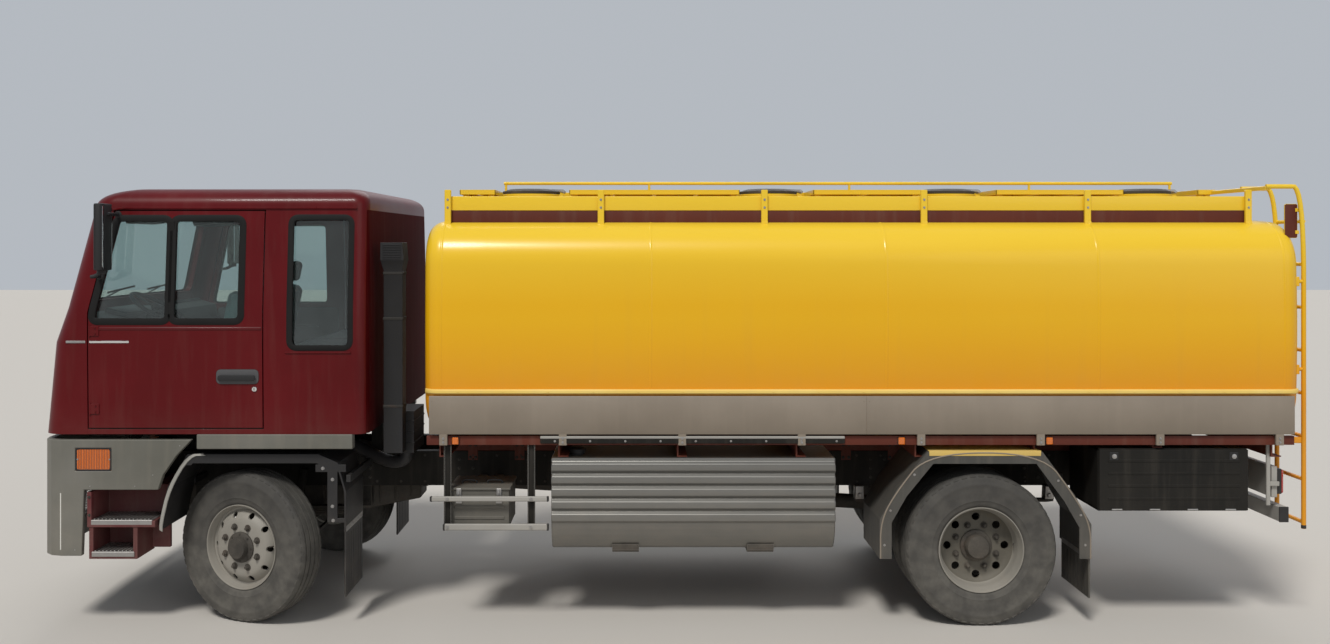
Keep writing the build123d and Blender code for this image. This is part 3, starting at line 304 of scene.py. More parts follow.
def makePiece(name, mesh, finishes, replaces=(), angle=35, body="chassis"):
    data = mesh
    if isinstance(mesh, bmesh.types.BMesh):
        bmesh.ops.recalc_face_normals(mesh, faces=mesh.faces)
        data = bpy.data.meshes.new(name)
        mesh.to_mesh(data)
        mesh.free()
    parts = [face.material_index for face in data.polygons]
    data.materials.clear()
    for finish in finishes:
        data.materials.append(finish)
    data.polygons.foreach_set("material_index", parts)  # clearing the list sets them all to the first
    piece = bpy.data.objects.new(name, data)
    bpy.context.scene.collection.objects.link(piece)
    data.polygons.foreach_set("use_smooth", [True] * len(data.polygons))
    data.set_sharp_from_angle(angle=math.radians(angle))
    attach(piece, body)
    if replaces:
        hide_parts(*replaces)
    return piece


def fromMesh(data):
    bm = bmesh.new()
    bm.from_mesh(data)
    return bm


def around(centre, reach):
    return (centre - reach, centre + reach)


def spaced(start, step, count):
    return [start + i * step for i in range(count)]


def between(start, end, count):
    return [start + i * (end - start) / (count - 1) for i in range(count)]


def bearings(count, phase=0.0):
    return [2 * math.pi * (i + phase) / count for i in range(count)]


def arc(centre, radius, start, end, steps):
    turns = [math.radians(bearing) for bearing in between(start, end, steps + 1)]
    return [(centre[0] + radius * math.cos(a), centre[1] + radius * math.sin(a)) for a in turns]


def oblong(a, b):
    return [(a[0], b[0]), (a[1], b[0]), (a[1], b[1]), (a[0], b[1])]


def axisTurn(centre, axis):
    turn = Vector(axis).to_track_quat("Z", "Y").to_matrix().to_4x4()  # lays +Z along the axis
    turn.translation = Vector(centre)
    return turn


def addFaces(bm, verts, faces, part=0):
    made = [bm.verts.new(v) for v in verts]
    for loop in faces:
        bm.faces.new([made[i] for i in loop]).material_index = part


def addRings(bm, rings, part=0, closed=False, capped=False):
    made = [[bm.verts.new(p) for p in ring] for ring in rings]
    for low, high in list(zip(made, made[1:])) + ([(made[-1], made[0])] if closed else []):
        count = max(len(low), len(high))
        for i in range(count):
            j = (i + 1) % count
            loop = [low[i % len(low)], low[j % len(low)], high[j % len(high)], high[i % len(high)]]
            loop = list(dict.fromkeys(loop))  # a ring of one point gives triangles
            if len(loop) > 2:
                bm.faces.new(loop).material_index = part
    for end in (made[0], made[-1][::-1]) if capped else ():
        bm.faces.new(end).material_index = part


def addBox(bm, x, y, z, edge=0.004, part=0, turn=None):
    spans = [(min(x), max(x)), (min(y), max(y)), (min(z), max(z))]
    ease = min(edge, 0.45 * min(high - low for low, high in spans))
    points = {}
    for ends in itertools.product((0, 1), repeat=3):
        for face in range(3):  # three points at each corner, one on each of its faces
            point = Vector([spans[a][ends[a]] + (0 if a == face else (ease, -ease)[ends[a]]) for a in range(3)])
            points[(*ends, face)] = bm.verts.new(turn @ point if turn is not None else point)
    loops = [[points[(*ends, face)] for face in range(3)] for ends in itertools.product((0, 1), repeat=3)]
    for face in range(3):
        a, b = [axis for axis in range(3) if axis != face]
        for end in (0, 1):
            loop = []
            for first, second in ((0, 0), (1, 0), (1, 1), (0, 1)):
                ends = [end] * 3
                ends[a], ends[b] = first, second
                loop.append(points[(*ends, face)])
            loops.append(loop)
        for first, second in itertools.product((0, 1), repeat=2):  # the four edges that run along this axis
            low, high = [first] * 3, [first] * 3
            low[a], low[b], low[face] = first, second, 0
            high[a], high[b], high[face] = first, second, 1
            loops.append([points[(*low, a)], points[(*high, a)], points[(*high, b)], points[(*low, b)]])
    for loop in loops:
        bm.faces.new(loop).material_index = part


def addBar(bm, points, width, depth, edge=0.003, part=0, up=upward):
    for start, end in zip(points, points[1:]):  # straight runs of rectangular section
        start, end = Vector(start), Vector(end)
        run = end - start
        side = run.cross(Vector(up))
        if side.length < 1e-6:
            side = run.cross(Vector(along))
        side.normalize()
        top = side.cross(run).normalized()
        turn = Matrix((run.normalized(), side, top)).transposed().to_4x4()
        turn.translation = (start + end) / 2
        addBox(bm, around(0, run.length / 2), around(0, width / 2), around(0, depth / 2), edge, part, turn)


def addLathe(bm, profile, centre, axis, segments=32, part=0, closed=False):
    turn = axisTurn(centre, axis)  # profile points are (radius, height along the axis)
    rings = []
    for radius, height in profile:
        spots = [(radius * math.cos(a), radius * math.sin(a)) for a in bearings(segments)] if radius > 1e-6 else [(0, 0)]
        rings.append([turn @ Vector((*spot, height)) for spot in spots])
    addRings(bm, rings, part, closed)


def addRod(bm, start, end, radius, segments=16, part=0, ease=0.2):
    start, end = Vector(start), Vector(end)
    length = (end - start).length
    lip = min(radius * ease, length / 3)
    profile = [(0, 0), (radius - lip, 0), (radius, lip), (radius, length - lip), (radius - lip, length), (0, length)]
    addLathe(bm, profile, start, end - start, segments, part)


def addTube(bm, points, radius, segments=10, part=0, closed=False, ease=4):
    line = [Vector(p) for p in points]
    for _ in range(ease):  # corners are eased by cutting them again and again
        ends = list(zip(line, line[1:])) + ([(line[-1], line[0])] if closed else [])
        cut = [p for a, b in ends for p in (a * 0.75 + b * 0.25, a * 0.25 + b * 0.75)]
        line = cut if closed else [line[0]] + cut + [line[-1]]
    rings, side = [], None
    for i, here in enumerate(line):
        before = line[i - 1] if i or closed else here
        after = line[(i + 1) % len(line)] if i + 1 < len(line) or closed else here
        run = (after - before).normalized()
        side = run.orthogonal() if side is None else side - run * side.dot(run)
        side.normalize()
        other = run.cross(side)
        rings.append([here + (side * math.cos(a) + other * math.sin(a)) * radius for a in bearings(segments)])
    addRings(bm, rings, part, closed, capped=not closed)


def addBolts(bm, spots, axis, size=0.018, part=0):
    tall = size * 0.62
    for spot in spots:  # a hexagon head on a washer
        addLathe(bm, [(0, 0), (size * 0.85, 0), (size * 0.85, size * 0.12), (0, size * 0.12)], spot, axis, 14, part)
        head = [(size * 0.56, size * 0.1), (size * 0.56, tall * 0.86), (size * 0.48, tall), (0, tall)]
        addLathe(bm, head, spot, axis, 6, part)


def soften(bm, width, angle=20):
    edges = [e for e in bm.edges if e.is_manifold and e.calc_face_angle(0) > math.radians(angle)]
    if width > 0.0002:
        bmesh.ops.bevel(bm, geom=edges, offset=width, segments=2, profile=0.6, affect="EDGES")


def merge(bm, extra):
    data = bpy.data.meshes.new("merging")
    extra.to_mesh(data)
    extra.free()
    bm.from_mesh(data)
    bpy.data.meshes.remove(data)


def addPrism(bm, outline, low, high, edge=0.003, part=0, axis="y"):
    order = {"y": (0, 2, 1), "z": (0, 1, 2), "x": (1, 2, 0)}[axis]  # the outline's two axes, then the pushed one
    count = len(outline)
    verts = []
    for depth in (low, high):
        for a, b in outline:
            point = [0, 0, 0]
            point[order[0]], point[order[1]], point[order[2]] = a, b, depth
            verts.append(point)
    sides = [(i, (i + 1) % count, (i + 1) % count + count, i + count) for i in range(count)]
    prism = bmesh.new()
    addFaces(prism, verts, [tuple(range(count))[::-1], tuple(range(count, 2 * count))] + sides, part)
    bmesh.ops.recalc_face_normals(prism, faces=prism.faces)
    soften(prism, edge)
    merge(bm, prism)


def addTwin(bm):
    made = bmesh.ops.duplicate(bm, geom=bm.verts[:] + bm.edges[:] + bm.faces[:])["geom"]
    for vert in made:  # all so far comes again on the truck's other side
        if isinstance(vert, bmesh.types.BMVert):
            vert.co.y = -vert.co.y
    bmesh.ops.reverse_faces(bm, faces=[face for face in made if isinstance(face, bmesh.types.BMFace)])


def rounded(outline, radius, steps=6):
    points = []  # the outline with its corners turned on curves
    for before, here, after in zip(outline[-1:] + outline[:-1], outline, outline[1:] + outline[:1]):
        corner = Vector(here)
        back, onward = (Vector(before) - corner), (Vector(after) - corner)
        limit = 0.45 * min(back.length, onward.length)
        back.normalize()
        onward.normalize()
        half = back.angle(onward) / 2
        if half > math.radians(84):
            points.append(tuple(corner))
            continue
        reach = min(radius / math.tan(half), limit)
        start, end = corner + back * reach, corner + onward * reach
        for share in between(0, 1, steps + 1):
            points.append(tuple(start * (1 - share) ** 2 + corner * 2 * share * (1 - share) + end * share ** 2))
    return points


def mirrored(point):
    return Vector((point[0], -point[1], point[2]))


def bothSides(make):
    for side, name in ((-1, "left"), (1, "right")):
        make(side, name)


def nodeMesh(node):
    bm = fromMesh(frame["nodes"][node].data)
    bmesh.ops.remove_doubles(bm, verts=bm.verts, dist=0.00005)
    bmesh.ops.dissolve_limit(bm, angle_limit=math.radians(0.8), verts=bm.verts, edges=bm.edges)
    return bm


def roundEdges(piece, width, angle, harden=True):
    bevel = piece.modifiers.new("roundedEdges", "BEVEL")
    bevel.width = width
    bevel.segments = 2
    bevel.limit_method = "ANGLE"
    bevel.angle_limit = math.radians(angle)
    bevel.harden_normals = harden


def softNode(node, finish, width=0.003, angle=34):
    body = frame["nodes"][node]["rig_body"]
    piece = makePiece(node + ".dressed", nodeMesh(node), [finish], [node], angle, body)
    roundEdges(piece, width, angle)
    return piece


def cutMesh(solid, cutter, operation="DIFFERENCE"):
    objects = []  # both meshes are used up; the result comes back as a new mesh
    for bm in (solid, cutter):
        bmesh.ops.recalc_face_normals(bm, faces=bm.faces)
        data = bpy.data.meshes.new("cutting")
        bm.to_mesh(data)
        bm.free()
        objects.append(bpy.data.objects.new("cutting", data))
        bpy.context.scene.collection.objects.link(objects[-1])
    cut = objects[0].modifiers.new("cut", "BOOLEAN")
    cut.operation = operation
    cut.solver = "EXACT"
    cut.object = objects[1]
    made = bpy.data.meshes.new_from_object(objects[0].evaluated_get(bpy.context.evaluated_depsgraph_get()))
    for used in objects:
        bpy.data.meshes.remove(used.data)
    return made

tank = {"front": -1.685, "rear": 4.205, "half": 1.203, "bottom": 1.285, "top": 2.742, "endTurn": 0.11, "lower": 0.26,
        "upper": 0.30, "bow": 0.012, "crown": 0.026, "seams": (-0.16, 1.42, 2.84), "seamWidth": 0.010, "recess": 0.010,
        "rim": 0.03, "moulding": (1.558, 1.590), "manholes": (-1.060, 0.745, 2.095, 3.585)}


def tankRing(x, inset=0.0):
    half, top = tank["half"] - tank["bow"] - inset, tank["top"] - inset
    lower, upper = tank["lower"] - inset, tank["upper"] - inset
    lowCentre, highCentre = tank["bottom"] + inset + lower, top - tank["crown"] - upper
    ring = [(0.35 * (half - lower), tank["bottom"] + inset)]
    ring += arc((half - lower, lowCentre), lower, -90, 0, 10)
    for share in (0.2, 0.4, 0.6, 0.8):
        bulge = tank["bow"] * math.sin(math.pi * share)
        ring.append((half + bulge, lowCentre + share * (highCentre - lowCentre)))
    ring += arc((half - upper, highCentre), upper, 0, 88, 14)
    ring += [((half - upper) * share, top - tank["crown"] * share * share) for share in (0.8, 0.6, 0.4, 0.2)]
    right = [Vector((x, y, z)) for y, z in ring]
    return right + [Vector((x, 0, top))] + [mirrored(p) for p in reversed(right)]


def makeTank():
    front, rear, turn = tank["front"], tank["rear"], tank["endTurn"]
    turns = [(turn * (1 - math.sin(a)), turn * (1 - math.cos(a))) for a in map(math.radians, between(90, 0, 9))]
    rim, middle = turn + tank["rim"], between(front + turn, rear - turn, 19)[1:-1]
    rings = [tankRing(front + tank["recess"], rim + 0.012), tankRing(front, rim)]
    rings += [tankRing(front + depth, inset) for depth, inset in turns]
    rings += [tankRing(x) for x in middle]
    rings += [tankRing(rear - depth, inset) for depth, inset in reversed(turns)]
    rings += [tankRing(rear, rim), tankRing(rear - tank["recess"], rim + 0.012)]
    shell = bmesh.new()
    addRings(shell, rings, capped=True)
    makePiece("tankShell", shell, [tankYellow], ["tank_shell"], 50)
    seams = bmesh.new()
    for x in (*tank["seams"], front + turn + 0.01, rear - turn - 0.01):
        bead = ((-1, 0.0001), (-0.5, 0.0016), (0, 0.0021), (0.5, 0.0016), (1, 0.0001))
        addRings(seams, [tankRing(x + share * tank["seamWidth"], -lift) for share, lift in bead])
    makePiece("tankWeldSeams", seams, [tankYellow], angle=60)
    moulding = bmesh.new()
    low, high = tank["moulding"]
    section = [(1.17, low + 0.001), (1.214, low + 0.001), (1.2205, low + 0.008), (1.2205, high - 0.008),
               (1.214, high - 0.001), (1.17, high - 0.001)]
    stations = [(front + depth, inset) for depth, inset in turns if inset < 0.07]  # it follows the turned-in ends
    stations += [(rear - depth, inset) for depth, inset in reversed(turns) if inset < 0.07]
    addRings(moulding, [[Vector((x, y - inset, z)) for y, z in section] for x, inset in stations], capped=True)
    bolts = [(x, 1.2195, (low + high) / 2) for x in between(front + 0.237, rear - 0.237, 19)]
    addBolts(moulding, bolts, across, 0.008)
    addTwin(moulding)
    makePiece("tankMoulding", moulding, [mouldingCream])


makeTank()
print("tank made")

collar = {"radius": 0.225, "top": 2.935, "bolts": 16, "stubReach": 0.33, "stubs": (150, 210)}
lid = {"radius": 0.218, "thick": 0.042, "ribs": 8, "hinge": 0.25}
walkway = {"z": (2.925, 2.962), "half": 0.30, "ends": (-1.565, 4.022), "bay": (-0.24, 0.305), "strip": 0.24,
           "checker": 0.040, "leg": 0.24}
rails = {"board": 0.95, "boardZ": (2.790, 2.888), "boardX": (-1.565, 3.955), "postTop": 2.932, "y": 0.346, "top": 3.037,
         "boardPosts": (-1.55, -0.5, 0.622, 1.716, 2.838, 3.94), "posts": (-1.29, -0.16, 1.42, 2.84, 3.95)}
ladder = {"sides": (-1.12, -0.76), "x": 4.247, "bottom": 0.64, "top": 2.9485, "stays": (1.716, 2.308), "rungs": 8}


def tankHeight(y):
    edge = tank["half"] - tank["bow"] - tank["upper"]  # of the tank's upper surface, at a distance from the middle
    if abs(y) < edge:
        return tank["top"] - tank["crown"] * (y / edge) ** 2
    return tank["top"] - tank["crown"] - tank["upper"] + math.sqrt(max(tank["upper"] ** 2 - (abs(y) - edge) ** 2, 0))


def makeCollars():
    bm = bmesh.new()
    low, top, radius = tank["top"] - 0.03, collar["top"], collar["radius"]
    neck = [(-0.025, low), (-0.003, low), (-0.003, top - 0.026), (0, top - 0.024), (0, top - 0.002), (-0.002, top),
            (-0.025, top), (-0.025, top - 0.04), (-radius, top - 0.04)]
    mouth = [(-radius, top - 0.041), (-0.0255, top - 0.041), (-0.0255, top - 0.030), (-0.036, top - 0.028),
             (-0.045, top - 0.034), (-radius, top - 0.034)]
    weld = [(-0.001, low + 0.022), (0.012, low + 0.026), (0.004, low + 0.040), (-0.003, low + 0.044)]
    for x in tank["manholes"]:
        for profile, part in ((neck, 0), (mouth, 2), (weld, 0)):
            addLathe(bm, [(radius + out, z) for out, z in profile], (x, 0, 0), upward, 56, part)
        for bearing in bearings(collar["bolts"], 0.5):
            if abs(math.sin(bearing)) > 0.36 or math.cos(bearing) < 0:  # none where the hinge stands
                spot = (x + radius * math.cos(bearing), radius * math.sin(bearing), top - 0.055)
                turn = Matrix.Translation(spot) @ Matrix.Rotation(bearing, 4, "Z")
                addBox(bm, (-0.008, 0.010), (-0.009, 0.009), (-0.022, 0.030), 0.002, 1, turn)
        for y in (-0.055, 0.055):
            addBox(bm, (x + 0.205, x + 0.248), around(y, 0.012), (top - 0.058, top - 0.003), 0.004)
        addRod(bm, (x + 0.238, -0.066, top - 0.012), (x + 0.238, 0.066, top - 0.012), 0.008, 12, 1)
        for a in map(math.radians, collar["stubs"]):  # vent and dip pipe stubs beside the collar
            spot = (x + collar["stubReach"] * math.cos(a), collar["stubReach"] * math.sin(a), 0)
            base = tankHeight(spot[1])
            stub = [(0, -0.01), (0.030, -0.01), (0.030, 0.055), (0.040, 0.057), (0.040, 0.078), (0.032, 0.086),
                    (0, 0.086)]
            addLathe(bm, [(r, base + z) for r, z in stub], spot, upward, 20, 1)
    makePiece("manholeCollars", bm, [tankYellow, steel, lidBlack], ["manhole_collars"], 40)


def makeLid(number, x):
    bm = bmesh.new()
    low, thick, radius = collar["top"], lid["thick"], lid["radius"]
    cover = [(0, 0.001), (radius - 0.006, 0.001), (radius, 0.005), (radius, 0.020), (radius - 0.004, 0.024),
             (radius - 0.020, 0.026), (radius - 0.034, 0.034), (radius - 0.060, thick - 0.002), (0.09, thick),
             (0.085, thick - 0.004), (0, thick - 0.004)]
    addLathe(bm, cover, (x, 0, low), upward, 64)
    for a in bearings(lid["ribs"], 0.5):
        ends = [(x + reach * math.cos(a), reach * math.sin(a), low + z)
                for reach, z in ((0.088, thick - 0.006), (0.190, 0.026))]
        addBar(bm, ends, 0.010, 0.012, 0.002)
    strap = [(0.10, 0.030), (0.20, 0.022), (0.252, 0.010), (0.262, 0.022), (0.245, 0.038), (0.12, 0.041)]
    for y in (-0.034, 0.034):  # hinge straps between the collar's lugs
        addPrism(bm, [(x + dx, low + z) for dx, z in strap], *around(y, 0.008), 0.002, 1)
    hinge = x + lid["hinge"]
    addRod(bm, (hinge, -0.046, low + 0.017), (hinge, 0.046, low + 0.017), 0.009, 12, 1)
    catch = [(0.150, 0.034), (0.190, 0.026), (0.2175, 0.020), (0.2175, 0.010), (0.190, 0.012), (0.150, 0.024)]
    addPrism(bm, [(x - dx, low + z) for dx, z in catch], -0.016, 0.016, 0.002, 1)
    handle = [(0.07, -0.05, 0.030), (0.075, -0.045, 0.0415), (0.075, 0.045, 0.0415), (0.07, 0.05, 0.030)]
    addTube(bm, [(x - dx, y, low + z) for dx, y, z in handle], 0.005, 8, 1)
    node = f"lid_{number}"
    makePiece(f"lidDressed.{number}", bm, [lidBlack, steel], [node], 40, node)


def addChecker(bm, x, y, z):
    pitch, foot = walkway["checker"], z - 0.0012
    for i in range(int((x[1] - x[0] - 0.03) / pitch)):
        for j in range(int((y[1] - y[0] - 0.03) / pitch)):  # raised bars that lean two ways
            turn = Matrix.Translation((x[0] + 0.035 + i * pitch, y[0] + 0.035 + j * pitch, 0))
            turn @= Matrix.Rotation(math.radians(45 if (i + j) % 2 else -45), 4, "Z")
            bar = ((-0.014, 0, foot), (0, -0.0035, foot), (0.014, 0, foot), (0, 0.0035, foot), (-0.008, 0, z),
                   (0.008, 0, z))
            faces = [(0, 1, 4), (1, 5, 4), (1, 2, 5), (2, 3, 5), (3, 4, 5), (3, 0, 4)]
            addFaces(bm, [turn @ Vector(p) for p in bar], faces)


def makeWalkway():
    bm = bmesh.new()
    low, high = walkway["z"]
    half = walkway["half"]
    bays = [(x + walkway["bay"][0], x + walkway["bay"][1]) for x in tank["manholes"]]
    edges = [walkway["ends"][0], *itertools.chain(*bays), walkway["ends"][1]]
    for start, end in zip(edges[::2], edges[1::2]):
        addBox(bm, (start, end), (-half, half), (high - 0.006, high - 0.0012), 0.0015)
        addChecker(bm, (start, end), (-half, half), high)
        for y in (-half + 0.004, half - 0.004):
            addBox(bm, (start, end), around(y, 0.004), (low, high - 0.002), 0.002)
        for x in (start + 0.004, end - 0.004):
            addBox(bm, around(x, 0.004), (-half, half), (low, high - 0.002), 0.002)
        for x in between(start, end, max(2, round((end - start) / 0.35)) + 1)[1:-1]:
            addBox(bm, around(x, 0.015), (-half + 0.01, half - 0.01), (low, high - 0.007), 0.003)
    for start, end in bays:
        addBox(bm, (start - 0.01, end + 0.01), (walkway["strip"] + 0.002, half), (low + 0.002, high - 0.0012), 0.003)
    legs = [edges[0] + 0.04, edges[-1] - 0.04, *[x for start, end in bays for x in (start - 0.04, end + 0.04)]]
    for x, y in itertools.product(legs, (-walkway["leg"], walkway["leg"])):
        foot = tankHeight(y)
        addBox(bm, around(x, 0.020), around(y, 0.018), (foot - 0.01, low + 0.004), 0.003)
        addBox(bm, around(x, 0.025), around(y, 0.02), (foot - 0.012, foot + 0.006), 0.002)
        addBolts(bm, [(x + dx, y, foot + 0.006) for dx in (-0.011, 0.011)], upward, 0.008, 1)
    makePiece("walkwayDeck", bm, [tankYellow, steel], ["walkway"], 30)


def makeTopRails():
    bm = bmesh.new()
    board, rail, top, deck = rails["board"], rails["y"], rails["top"], walkway["z"][0]
    low, high = rails["boardZ"]
    x0, x1 = rails["boardX"]
    coaming = [(0.006, low), (0.014, low + 0.002), (0.014, high - 0.004), (0.010, high), (0.0, high),
               (0.0, high - 0.010), (0.006, high - 0.012)]
    swage = [(0.0065, low + 0.030), (0.0005, low + 0.034), (0.0005, low + 0.046), (0.0065, low + 0.050)]
    addPrism(bm, [(board + y, z) for y, z in coaming], x0, x1, 0.001, axis="x")
    addPrism(bm, [(board + y, z) for y, z in swage], x0 + 0.01, x1 - 0.01, 0.001, axis="x")
    y = board + 0.027
    foot = tankHeight(y)
    for x in rails["boardPosts"]:
        addBox(bm, around(x, 0.022), around(y, 0.013), (foot - 0.02, rails["postTop"]), 0.004)
        addPrism(bm, oblong(around(x, 0.022), (foot - 0.03, foot + 0.012)), board + 0.040, board + 0.0445, 0.001)
        addBolts(bm, [(x, board + 0.0395, z) for z in (low + 0.02, high - 0.024)], across, 0.010, 1)
        addRod(bm, (x, y, rails["postTop"] - 0.004), (x, y, rails["postTop"] - 0.0005), 0.011, 14, 1)
    addTwin(bm)
    posts = rails["posts"]
    addTube(bm, [(posts[0] - 0.01, rail, top), (posts[-1] + 0.01, rail, top)], 0.0125, 14, ease=0)
    for x in posts:
        addTube(bm, [(x, rail, deck), (x, rail, top)], 0.0098, 12, ease=0)
        addBox(bm, around(x, 0.010), (walkway["half"], rail + 0.009), (deck, deck + 0.02), 0.003)
        addBolts(bm, [(x, rail + 0.0085, deck + 0.01)], across, 0.008, 1)
        sleeve = [(0.0122, -0.016), (0.0129, -0.010), (0.0129, 0.010), (0.0122, 0.016)]
        addLathe(bm, sleeve, (x, rail, top), along, 16)
    makePiece("topRails", bm, [tankYellow, steel], ["top_rails"])
    # dark red boards close the gap under the coamings, painted dark to stand in for the shade in that gap
    boards = bmesh.new()
    foot = tankHeight(board + 0.007)
    sheet = [(board + 0.004, foot - 0.01), (board + 0.010, foot - 0.012), (board + 0.010, low), (board + 0.004, low)]
    addPrism(boards, sheet, x0, x1, 0.0008, axis="x")
    for x in between(x0 + 0.10, x1 - 0.10, 23):
        addBox(boards, around(x, 0.012), (board + 0.0005, board + 0.004), (foot + 0.004, low - 0.002), 0.001)
    addTwin(boards)
    makePiece("dripBoardsPaintedShade", boards, [railRed], ["drip_boards"])


def makeLadder():
    bm = bmesh.new()
    sides, out, bottom, top = ladder["sides"], ladder["x"], ladder["bottom"], ladder["top"]
    for y in sides:
        stile = [(out, y, bottom), (out, y, 1.7), (out, y, top), (4.10, y, top), (3.992, y, top)]
        addTube(bm, stile, 0.0158, 16, ease=3)
        for z in ladder["stays"]:
            addTube(bm, [(4.19, y, z), (out, y, z)], 0.013, 12, ease=0)
            addBox(bm, (4.175, 4.2045), around(y, 0.032), around(z, 0.032), 0.003)
        foot = [(0.0, 0), (0.0155, 0), (0.0165, 0.004), (0.0165, 0.024), (0.015, 0.026)]
        addLathe(bm, foot, (out, y, bottom), upward, 16, 1)
    for z in spaced(bottom + 0.043, 0.29, ladder["rungs"]):
        addTube(bm, [(out, sides[0], z), (out, sides[1], z)], 0.0128, 14, ease=0)
        for y in spaced(sides[0] + 0.05, 0.0325, 9):  # grip rings on the rung
            addLathe(bm, [(0.0128, -0.002), (0.0142, 0), (0.0128, 0.002)], (out, y, z), across, 14)
        for y, inward in zip(sides, (1, -1)):
            collarRing = [(0.0128, 0), (0.0155, 0.001), (0.0128, 0.006)]
            addLathe(bm, collarRing, (out, y + inward * 0.014, z), (0, inward, 0), 14)
    deck = walkway["z"][0]
    addBox(bm, (3.990, 4.022), (sides[0], -walkway["half"]), (deck, deck + 0.028), 0.004)
    addBox(bm, (4.07, out), (-1.12, -1.08), (1.2155, 1.2545), 0.004)
    endBoard = rounded(oblong((4.128, 4.216), (2.600, 2.832)), 0.015)  # inside the ladder's top
    addPrism(bm, endBoard, -1.100, -1.092, 0.002, 2)
    for z in (2.64, 2.79):
        addBox(bm, (4.200, 4.224), (-1.106, -1.096), around(z, 0.012), 0.002)
    makePiece("rearLadder", bm, [tankYellow, blackPlastic, railRed], ["rear_ladder"])


makeCollars()
for lidNumber, lidX in enumerate(tank["manholes"], 1):
    makeLid(lidNumber, lidX)
makeWalkway()
makeTopRails()
makeLadder()
print("tank top made")

wheel = {"radius": 0.509, "frontX": -2.832, "rearX": 2.055, "kingpin": 0.85, "offset": 0.16, "steer": math.radians(-22),
         "twinCentre": 0.92, "twinHalf": 0.155, "lugs": 54}
frontRim = {
    "flange": [(0.2865, -0.108), (0.2865, 0.101), (0.2865, 0.1113), (0.2815, 0.1116), (0.2765, 0.105), (0.2755, 0.088),
               (0.266, 0.074), (0.262, 0.058)],
    "dish": [(0.250, 0.055), (0.232, 0.073), (0.206, 0.095), (0.190, 0.1015), (0.160, 0.1035), (0.112, 0.1035),
             (0.0, 0.1035)],
    "back": [(0.0, 0.088), (0.190, 0.088), (0.206, 0.082), (0.228, 0.062), (0.245, 0.042), (0.262, 0.03),
             (0.270, -0.108)],
    "hub": [(0.104, -0.001), (0.104, 0.010), (0.094, 0.016), (0.074, 0.02), (0.070, 0.05), (0.066, 0.058), (0.0, 0.060)],
    "holes": 10, "holeRing": 0.219, "holeRadius": 0.020, "nutRing": 0.1425, "face": 0.1035, "valve": 0.075}
rearRim = {
    "flange": [(0.2865, -0.04), (0.2865, 0.05), (0.2865, 0.256), (0.2865, 0.2665), (0.281, 0.2668), (0.2755, 0.260),
               (0.2745, 0.240), (0.262, 0.225), (0.258, 0.185), (0.252, 0.155)],
    "dish": [(0.246, 0.140), (0.225, 0.121), (0.205, 0.1155), (0.150, 0.1155), (0.128, 0.1165), (0.120, 0.1165),
             (0.0, 0.1165)],
    "back": [(0.0, 0.100), (0.205, 0.100), (0.226, 0.106), (0.240, 0.09), (0.250, 0.05), (0.258, -0.04)],
    "hub": [(0.108, -0.001), (0.108, 0.012), (0.100, 0.018), (0.084, 0.02), (0.080, 0.066), (0.072, 0.078),
            (0.03, 0.086), (0.0, 0.087)],
    "holes": 8, "holeRing": 0.196, "holeRadius": 0.027, "nutRing": 0.148, "face": 0.1165, "valve": 0.16}


def tyreProfile():
    outer = [(0.2865, 0.101), (0.296, 0.108), (0.303, 0.1125), (0.312, 0.1135), (0.330, 0.118), (0.334, 0.1205),
             (0.340, 0.1195), (0.372, 0.1235), (0.405, 0.124), (0.430, 0.1228), (0.433, 0.1235), (0.448, 0.1225),
             (0.452, 0.1205), (0.468, 0.1175), (0.484, 0.1125), (0.495, 0.107), (0.502, 0.100), (0.5055, 0.093)]
    for groove in (0.070, 0.024):
        outer += [(r, groove + h) for r, h in ((0.508, 0.0065), (0.4965, 0.0045), (0.4965, -0.0045), (0.508, -0.0065))]
    return outer + [(radius, -station) for radius, station in reversed(outer)]


def makeTyre(name, centres, axis, body, node):
    bm = bmesh.new()
    for centre in centres:
        addLathe(bm, tyreProfile(), centre, axis, 96, closed=True)
        for station, phase, lean in ((0.0955, 0.5, -28), (-0.0955, 0, 28)):  # shoulder blocks round both edges
            for bearing in bearings(wheel["lugs"], phase):
                turn = axisTurn(centre, axis) @ Matrix.Rotation(bearing, 4, "Z")
                turn @= Matrix.Translation((0.4935, 0, station)) @ Matrix.Rotation(math.radians(lean), 4, "Y")
                addBox(bm, (-0.009, 0.0085), (-0.019, 0.019), (-0.0165, 0.0155), 0.002, turn=turn)
    makePiece(name, bm, [rubber], [node], 40, body)


def onWheel(bearing, radius, height):
    return (radius * math.cos(bearing), radius * math.sin(bearing), height)


